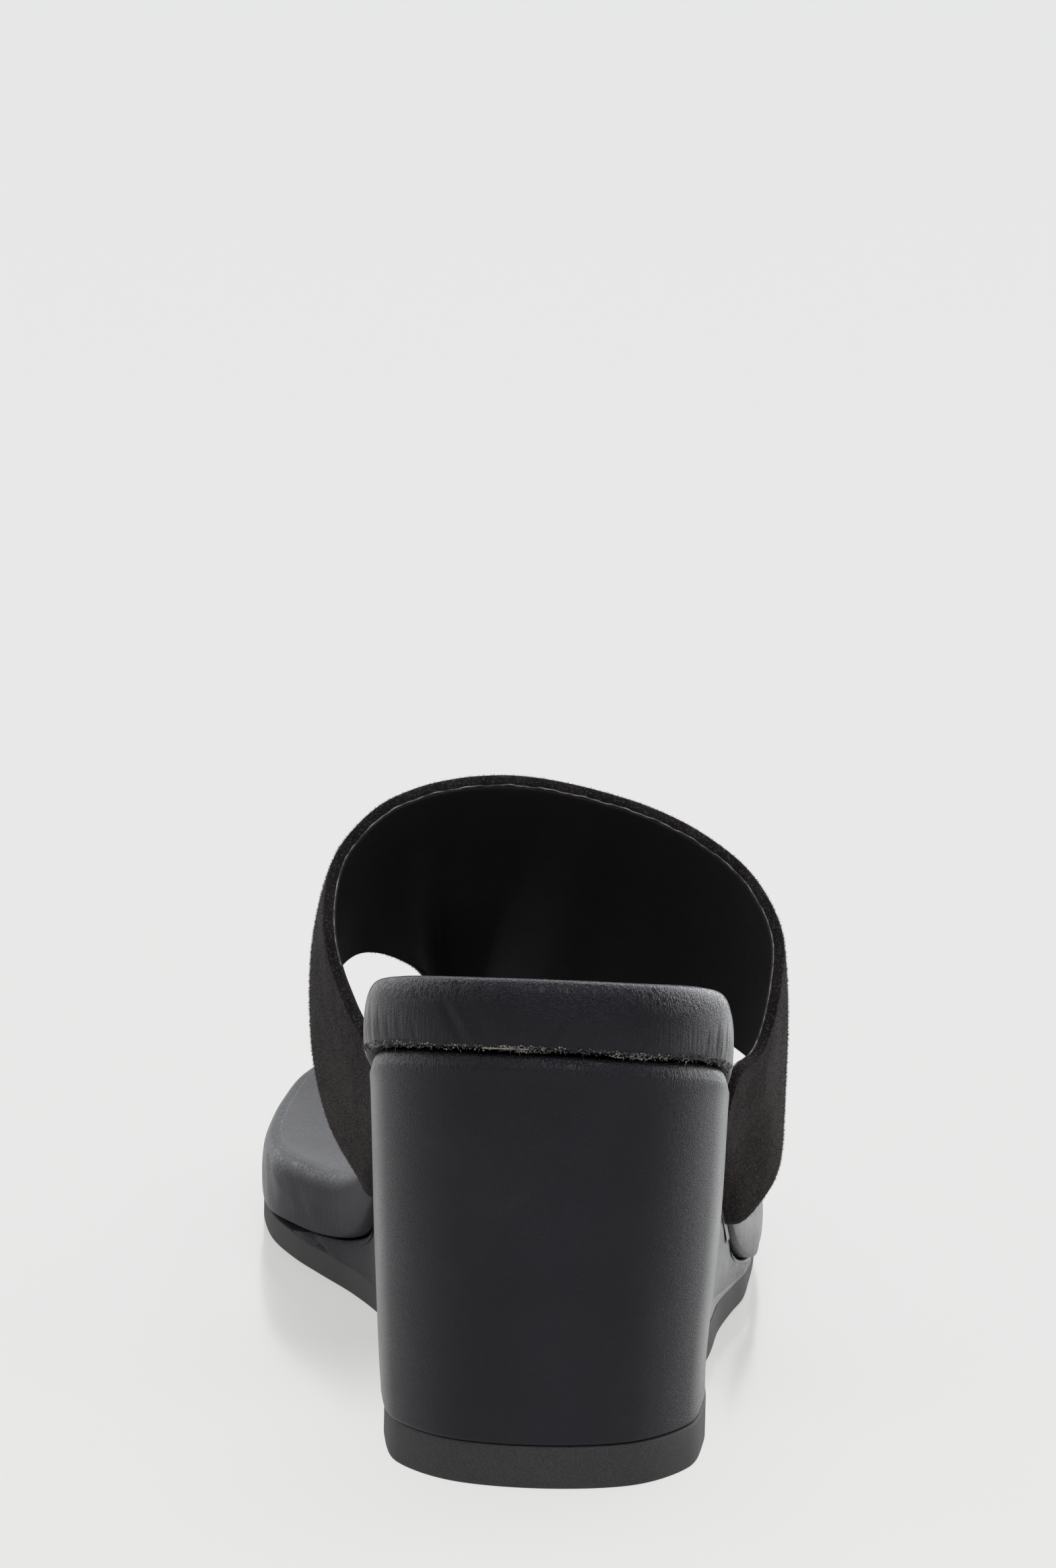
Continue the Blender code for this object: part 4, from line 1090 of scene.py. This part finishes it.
def leather(name, roughness, specular, pebble_scale, grain_mm, creased=None, gathered=False):
    """Smooth black leather. Creases follow a named value of the piece, and gathers run up its side."""
    material, tree, shader, here = start_material(name, LEATHER_DARK, roughness, specular)
    shader.inputs["Specular Tint"].default_value = LEATHER_GLEAM
    creasing = 0.0
    if creased:
        key, start, end = creased
        mark = place(tree, "ShaderNodeAttribute", attribute_name=key).outputs["Fac"]
        creasing = math(tree, "MULTIPLY", ramp(tree, mark, start, end), ramp(tree, mark, 60.0, 14.0))
    grain = use_group(tree, GRAIN, Place=here, Pebble_scale=pebble_scale, Creasing=creasing)
    height = grain["Height"]
    if gathered:
        around = place(tree, "ShaderNodeAttribute", attribute_name="round").outputs["Fac"]
        up = place(tree, "ShaderNodeAttribute", attribute_name="up").outputs["Fac"]
        sockets = {0: around, 1: math(tree, "MULTIPLY", up, 0.1)}
        drawn = noise(tree, place(tree, "ShaderNodeCombineXYZ", sockets).outputs[0], GATHER_SCALE, 4.0, 0.65)
        pulls = math(tree, "MULTIPLY", drawn, ramp(tree, up, *GATHER_REACH))
        height = math(tree, "ADD", height, math(tree, "MULTIPLY", pulls, GATHERS))
    dust = use_group(tree, HANDLING, Place=here, Amount=0.35)["Mask"]
    tone = mix_colour(tree, grain["Tone"], LEATHER_DARK, LEATHER_LIGHT)
    tree.links.new(mix_colour(tree, dust, tone, DUST), shader.inputs["Base Color"])
    rough = math(tree, "ADD", grain["Roughness shift"], roughness)
    spot = place(tree, "ShaderNodeSeparateXYZ", {0: here}).outputs
    rubbed = math(tree, "MULTIPLY", ramp(tree, spot["Y"], *RUBBED_BACK), ramp(tree, spot["Y"], *RUBBED_FRONT))
    rubbed = math(tree, "MULTIPLY", rubbed, ramp(tree, spot["X"], *RUBBED_SIDE))
    if gathered:
        rubbed = math(tree, "MULTIPLY", rubbed, ramp(tree, up, *RUBBED_TOP))
        polished = math(tree, "MULTIPLY", ramp(tree, up, *POLISHED_UP), ramp(tree, spot["Y"], *POLISHED_BACK))
        rough = math(tree, "SUBTRACT", rough, math(tree, "MULTIPLY", polished, POLISHED_GLOSS))
    rough = math(tree, "ADD", rough, math(tree, "MULTIPLY", rubbed, RUBBED_MATT))
    tree.links.new(math(tree, "ADD", rough, math(tree, "MULTIPLY", dust, 0.25)), shader.inputs["Roughness"])
    bump(tree, shader, height, grain_mm, 1.0)
    return material


wedge_leather = leather(
    "wedge_leather", roughness=0.29, specular=0.27, pebble_scale=2300.0, grain_mm=0.042,
    creased=("down", 6.0, 1.0),
)
footbed_leather = leather(
    "footbed_leather", roughness=0.27, specular=0.25, pebble_scale=2000.0, grain_mm=0.045,
    creased=("up", 6.0, 11.0), gathered=True,
)
post_leather = leather("post_leather", roughness=0.45, specular=0.30, pebble_scale=2600.0, grain_mm=0.02)
for piece, material in ((wedge, wedge_leather), (footbed, footbed_leather), (post, post_leather)):
    piece.data.materials.append(material)
print("leather on", wedge.name, footbed.name, post.name)

# %% [markdown]
# ## The suede
#
# Suede is the leather's brushed inner face, so it is quite matt and shows darker and lighter strokes where
# the nap lies over. Its cut edges are darker, a painted highlight lightens the corner beside them, and low on
# the sides painted shade makes the black darker and a little brown. A velvet shader would glow too much at
# its outline, so it has only a trace of sheen, and the real fuzz is made as fibres further on.

# %% Suede
SUEDE_SHADE_LOW = (0.062, 0.036)  # heights between which the painted shade, darker and browner, comes in, in metres
SUEDE_DARK, SUEDE_LIGHT = (0.0066, 0.0055, 0.0057), (0.0265, 0.0226, 0.0224)
# The first colour is painted shade: darker and a little browner, for the band's low sides
SUEDE_SHADE_BROWN, SUEDE_FLECK = (0.0096, 0.0074, 0.0063), (0.056, 0.049, 0.048)


def suede_material():
    """Black suede: strokes in the nap, darker cut edges, painted highlight beside them, painted shade low down.
    """
    material, tree, shader, here = start_material("black_suede", SUEDE_DARK, roughness=1.0, specular=0.05)
    nap = use_group(tree, NAP, Place=here, Tuft_scale=1500.0)
    edge = place(tree, "ShaderNodeAttribute", attribute_name="edge").outputs["Fac"]
    cut = ramp(tree, edge, 0.0, -0.6)
    # A painted highlight on the outer face next to the cut edges
    corner_highlight = math(tree, "MULTIPLY", ramp(tree, edge, 1.3, 0.2), ramp(tree, edge, -0.5, 0.0))
    # Low on the sides, painted shade makes the suede darker and browner
    low = ramp(tree, place(tree, "ShaderNodeSeparateXYZ", {0: here}).outputs["Z"], *SUEDE_SHADE_LOW)
    stroke = mix_colour(tree, nap["Stroke"], SUEDE_DARK, SUEDE_LIGHT)
    stroke = mix_colour(tree, math(tree, "MULTIPLY", low, 0.6), stroke, SUEDE_SHADE_BROWN)
    stroke = mix_colour(tree, math(tree, "MULTIPLY", cut, 0.65), stroke, SUEDE_DARK)
    stroke = mix_colour(tree, math(tree, "MULTIPLY", corner_highlight, 0.55), stroke, SUEDE_LIGHT)
    fleck = math(tree, "MULTIPLY", nap["Fleck"], 0.7)
    tree.links.new(mix_colour(tree, fleck, stroke, SUEDE_FLECK), shader.inputs["Base Color"])
    shader.inputs["Sheen Weight"].default_value = 0.05
    shader.inputs["Sheen Roughness"].default_value = 0.6
    shader.inputs["Sheen Tint"].default_value = (0.75, 0.72, 0.70, 1.0)
    bump(tree, shader, nap["Height"], 0.24, 1.0)
    return material


black_suede = suede_material()
suede.data.materials.append(black_suede)
print("suede on", suede.name)

# %% [markdown]
# ## Lining, cut edge, glue and rubber
#
# The lining is thin dull leather, almost black in the shade of the band. Where it was cut it is pale inside,
# and dried glue is pale too, with a little brown in it. The rubber is a dark, dry grey with a fine speckle
# from its mould, darker and browner towards the ball. They are all plain surfaces, so a noise or two on the
# piece's own coordinates is enough for each.

# %% Lining, its cut edge and the rubber
LINING_DARK, LINING_RUBBED = (0.0088, 0.0070, 0.0086), (0.021, 0.0178, 0.0200)
RUBBER_TOWARDS_BALL, RUBBER_DARKER_ALONG = (0.0165, 0.0148, 0.0138), (-0.09, -0.02)  # the colour towards the ball
RUBBER_DUST = (0.075, 0.072, 0.068)
MOULD_SCALE, RIPPLE_SCALE = 3300.0, 420.0
LINING_ROUGHNESS, LINING_SPECULAR = 0.62, 0.20
RUBBER_DARK, RUBBER_LIGHT = (0.026, 0.0250, 0.0262), (0.041, 0.0395, 0.0410)


def lining_material():
    finish = (LINING_DARK, LINING_ROUGHNESS, LINING_SPECULAR)
    material, tree, shader, here = start_material("lining_leather", *finish)
    grain = use_group(tree, GRAIN, Place=here, Pebble_scale=1900.0, Creasing=0.3)
    rubbed = use_group(tree, HANDLING, Place=here, Amount=0.8)["Mask"]
    tree.links.new(mix_colour(tree, rubbed, LINING_DARK, LINING_RUBBED), shader.inputs["Base Color"])
    tree.links.new(math(tree, "ADD", grain["Roughness shift"], LINING_ROUGHNESS), shader.inputs["Roughness"])
    bump(tree, shader, grain["Height"], 0.02, 1.0)
    return material


def edge_material(name, dark, light):
    """The pale inside of leather or dried glue, worn unevenly."""
    material, tree, shader, here = start_material(name, light, roughness=0.75, specular=0.3)
    worn = ramp(tree, noise(tree, here, 420.0, 3.0), 0.35, 0.65)
    tree.links.new(mix_colour(tree, worn, dark, light), shader.inputs["Base Color"])
    bump(tree, shader, noise(tree, here, 2400.0), 0.05, 1.0)
    return material


def rubber_material():
    material, tree, shader, here = start_material("outsole_rubber", RUBBER_DARK, roughness=0.72, specular=0.25)
    mould = noise(tree, here, MOULD_SCALE, 2.0)
    dust = use_group(tree, HANDLING, Place=here, Amount=0.5)["Mask"]
    tone = mix_colour(tree, ramp(tree, mould, 0.3, 0.7), RUBBER_DARK, RUBBER_LIGHT)
    along = place(tree, "ShaderNodeSeparateXYZ", {0: here}).outputs["Y"]
    forward = ramp(tree, along, *RUBBER_DARKER_ALONG)
    # The rubber is made darker and browner towards the ball
    tone = mix_colour(tree, math(tree, "MULTIPLY", forward, 0.7), tone, RUBBER_TOWARDS_BALL)
    tree.links.new(mix_colour(tree, dust, tone, RUBBER_DUST), shader.inputs["Base Color"])
    tree.links.new(math(tree, "ADD", math(tree, "MULTIPLY", dust, 0.2), 0.7), shader.inputs["Roughness"])
    ripples = math(tree, "MULTIPLY", noise(tree, here, RIPPLE_SCALE), 1.5)
    bump(tree, shader, math(tree, "ADD", mould, ripples), 0.02, 1.0)
    return material


cut_edge = edge_material("cut_edge", (0.05, 0.05, 0.052), (0.25, 0.25, 0.26))
dried_glue = edge_material("dried_glue", (0.018, 0.016, 0.015), (0.25, 0.23, 0.21))
for piece, material in ((lining, lining_material()), (outsole, rubber_material())):
    piece.data.materials.append(material)
for piece, material in ((collar_line, cut_edge), (heel_thread, dried_glue)):
    piece.data.materials.append(material)
print("lining, cut edges and rubber finished")

# %% [markdown]
# ## Nap, frayed edges and torn glue
#
# Suede is a mat of short fibres. They show as fuzz on its outline and stick out of its cut edges. Hair would
# do it in Blender alone, but here every fibre becomes a plain thin cone. One geometry tree strews cones over
# a surface, as many as a named value of its points asks for. It makes the nap, the frayed edges and, with
# flatter and longer cones, the dried glue and torn leather along the heel's seam.

# %% Strewing tree
def strewing_tree():
    """A geometry tree that strews small cones over a surface and gives them back without it."""
    tree, given, out = new_group(
        "strewn_cones",
        "GeometryNodeTree",
        [("Surface", "NodeSocketGeometry", None), ("Where", "NodeSocketString", "nap"),
         ("Per square mm", "NodeSocketFloat", 1.0), ("Seed", "NodeSocketInt", 1),
         ("Sides", "NodeSocketInt", 3), ("Length mm", "NodeSocketFloat", 0.4),
         ("Radius mm", "NodeSocketFloat", 0.03),
         ("Lean", "NodeSocketFloat", 0.6), ("Smallest", "NodeSocketFloat", 0.5),
         ("Material", "NodeSocketMaterial", None)],
        [("Cones", "NodeSocketGeometry")],
    )
    sockets = {"Name": given["Where"]}
    wanted = place(tree, "GeometryNodeInputNamedAttribute", sockets, data_type="FLOAT").outputs[0]
    density = math(tree, "MULTIPLY", math(tree, "MULTIPLY", wanted, given["Per square mm"]), MM**-2)
    sockets = {"Mesh": given["Surface"], "Density": density, "Seed": given["Seed"]}
    spots = place(tree, "GeometryNodeDistributePointsOnFaces", sockets).outputs
    sockets = {0: (-1.0, -1.0, -1.0), 1: (1.0, 1.0, 1.0), "Seed": given["Seed"]}
    chance = place(tree, "FunctionNodeRandomValue", sockets, data_type="FLOAT_VECTOR").outputs[0]
    lean = place(tree, "ShaderNodeVectorMath", {0: chance, 3: given["Lean"]}, operation="SCALE").outputs[0]
    tilt = place(tree, "FunctionNodeEulerToRotation", {0: lean}).outputs[0]
    sockets = {0: spots["Rotation"], 1: tilt}
    turned = place(tree, "FunctionNodeRotateRotation", sockets, rotation_space="LOCAL").outputs[0]
    sockets = {2: given["Smallest"], 3: 1.0, "Seed": given["Seed"]}
    size = place(tree, "FunctionNodeRandomValue", sockets, data_type="FLOAT").outputs[1]
    sockets = {
        "Vertices": given["Sides"],
        "Radius Bottom": math(tree, "MULTIPLY", given["Radius mm"], MM),
        "Depth": math(tree, "MULTIPLY", given["Length mm"], MM),
    }
    cone = place(tree, "GeometryNodeMeshCone", sockets, fill_type="NGON").outputs["Mesh"]
    sockets = {"Points": spots["Points"], "Instance": cone, "Rotation": turned, "Scale": size}
    strewn = place(tree, "GeometryNodeInstanceOnPoints", sockets).outputs[0]
    real = place(tree, "GeometryNodeRealizeInstances", {0: strewn}).outputs[0]
    sockets = {"Geometry": real, "Material": given["Material"]}
    tree.links.new(place(tree, "GeometryNodeSetMaterial", sockets).outputs[0], out["Cones"])
    return tree


STREWING = strewing_tree()
print("tree", STREWING.name, "with", len(STREWING.nodes), "nodes")

# %% [markdown]
# ## Strewing the pieces
#
# The tree reads a named value of each surface: the suede's skin says where it has nap and where its cut edges
# are, and a narrow strip along the heel's seam, which is removed again, says where the glue is torn. Each
# result is frozen into a plain mesh, because only plain meshes are exported.

# %% Strewn pieces
TORN_START, TORN_END, TORN_LEAST = -52.0, 50.0, 0.35  # along the heel's seam in mm, and the least of the tear
TORN_INNER, TORN_OUTER = (0.75, -0.35), (0.05, 0.75)  # inset and height of the torn strip's two edges


def strew(name, surface, slot, **values):
    """Cones strewn over a mesh, as a plain piece of their own that rides on the shoe."""
    piece = bpy.data.objects.new(name, surface)
    bpy.context.scene.collection.objects.link(piece)
    modifier = piece.modifiers.new("strewn cones", "NODES")
    modifier.node_group = STREWING
    sockets = {item.name.replace(" ", "_"): item.identifier for item in STREWING.interface.items_tree}
    for key, value in values.items():
        modifier[sockets[key]] = value
    evaluated = piece.evaluated_get(bpy.context.evaluated_depsgraph_get())
    mesh = bpy.data.meshes.new_from_object(evaluated)
    piece.modifiers.clear()
    piece.data = mesh
    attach(piece, "root")
    return piece


nap = strew("suede_nap_fibres", suede.data, "upper_suede", Where="nap", Per_square_mm=2.5, Seed=3,
            Length_mm=0.5, Radius_mm=0.05, Lean=0.9, Material=black_suede)
fray = strew("frayed_edge_fibres", suede.data, "upper_suede", Where="fray", Per_square_mm=12.0, Seed=4,
             Length_mm=0.5, Radius_mm=0.04, Lean=1.0, Material=black_suede)
torn_rows = np.stack([heel_path(*edge, TORN_START, TORN_END) for edge in (TORN_INNER, TORN_OUTER)], axis=1)
along_heel = arc(torn_rows[:, 0])
torn = np.clip(np.sin(along_heel * 0.42) + np.sin(along_heel * 0.27 + 2.0), 0.0, 1.0)
torn = TORN_LEAST + (1 - TORN_LEAST) * torn
strip = loft("torn_strip", torn_rows, closed=False, fields={"torn": np.column_stack([torn, torn])})
flakes = strew("heel_flakes", strip.data, "footbed_leather", Where="torn", Per_square_mm=9.0, Seed=5, Sides=4,
               Length_mm=0.22, Radius_mm=0.25, Lean=1.2, Smallest=0.25, Material=dried_glue)
shreds = strew("heel_shreds", strip.data, "footbed_leather", Where="torn", Per_square_mm=2.4, Seed=6,
               Length_mm=1.1, Radius_mm=0.08, Lean=1.5, Smallest=0.4, Material=dried_glue)
bpy.data.objects.remove(strip, do_unlink=True)
for piece in (nap, fray, flakes, shreds):
    print(piece.name, len(piece.data.polygons), "faces")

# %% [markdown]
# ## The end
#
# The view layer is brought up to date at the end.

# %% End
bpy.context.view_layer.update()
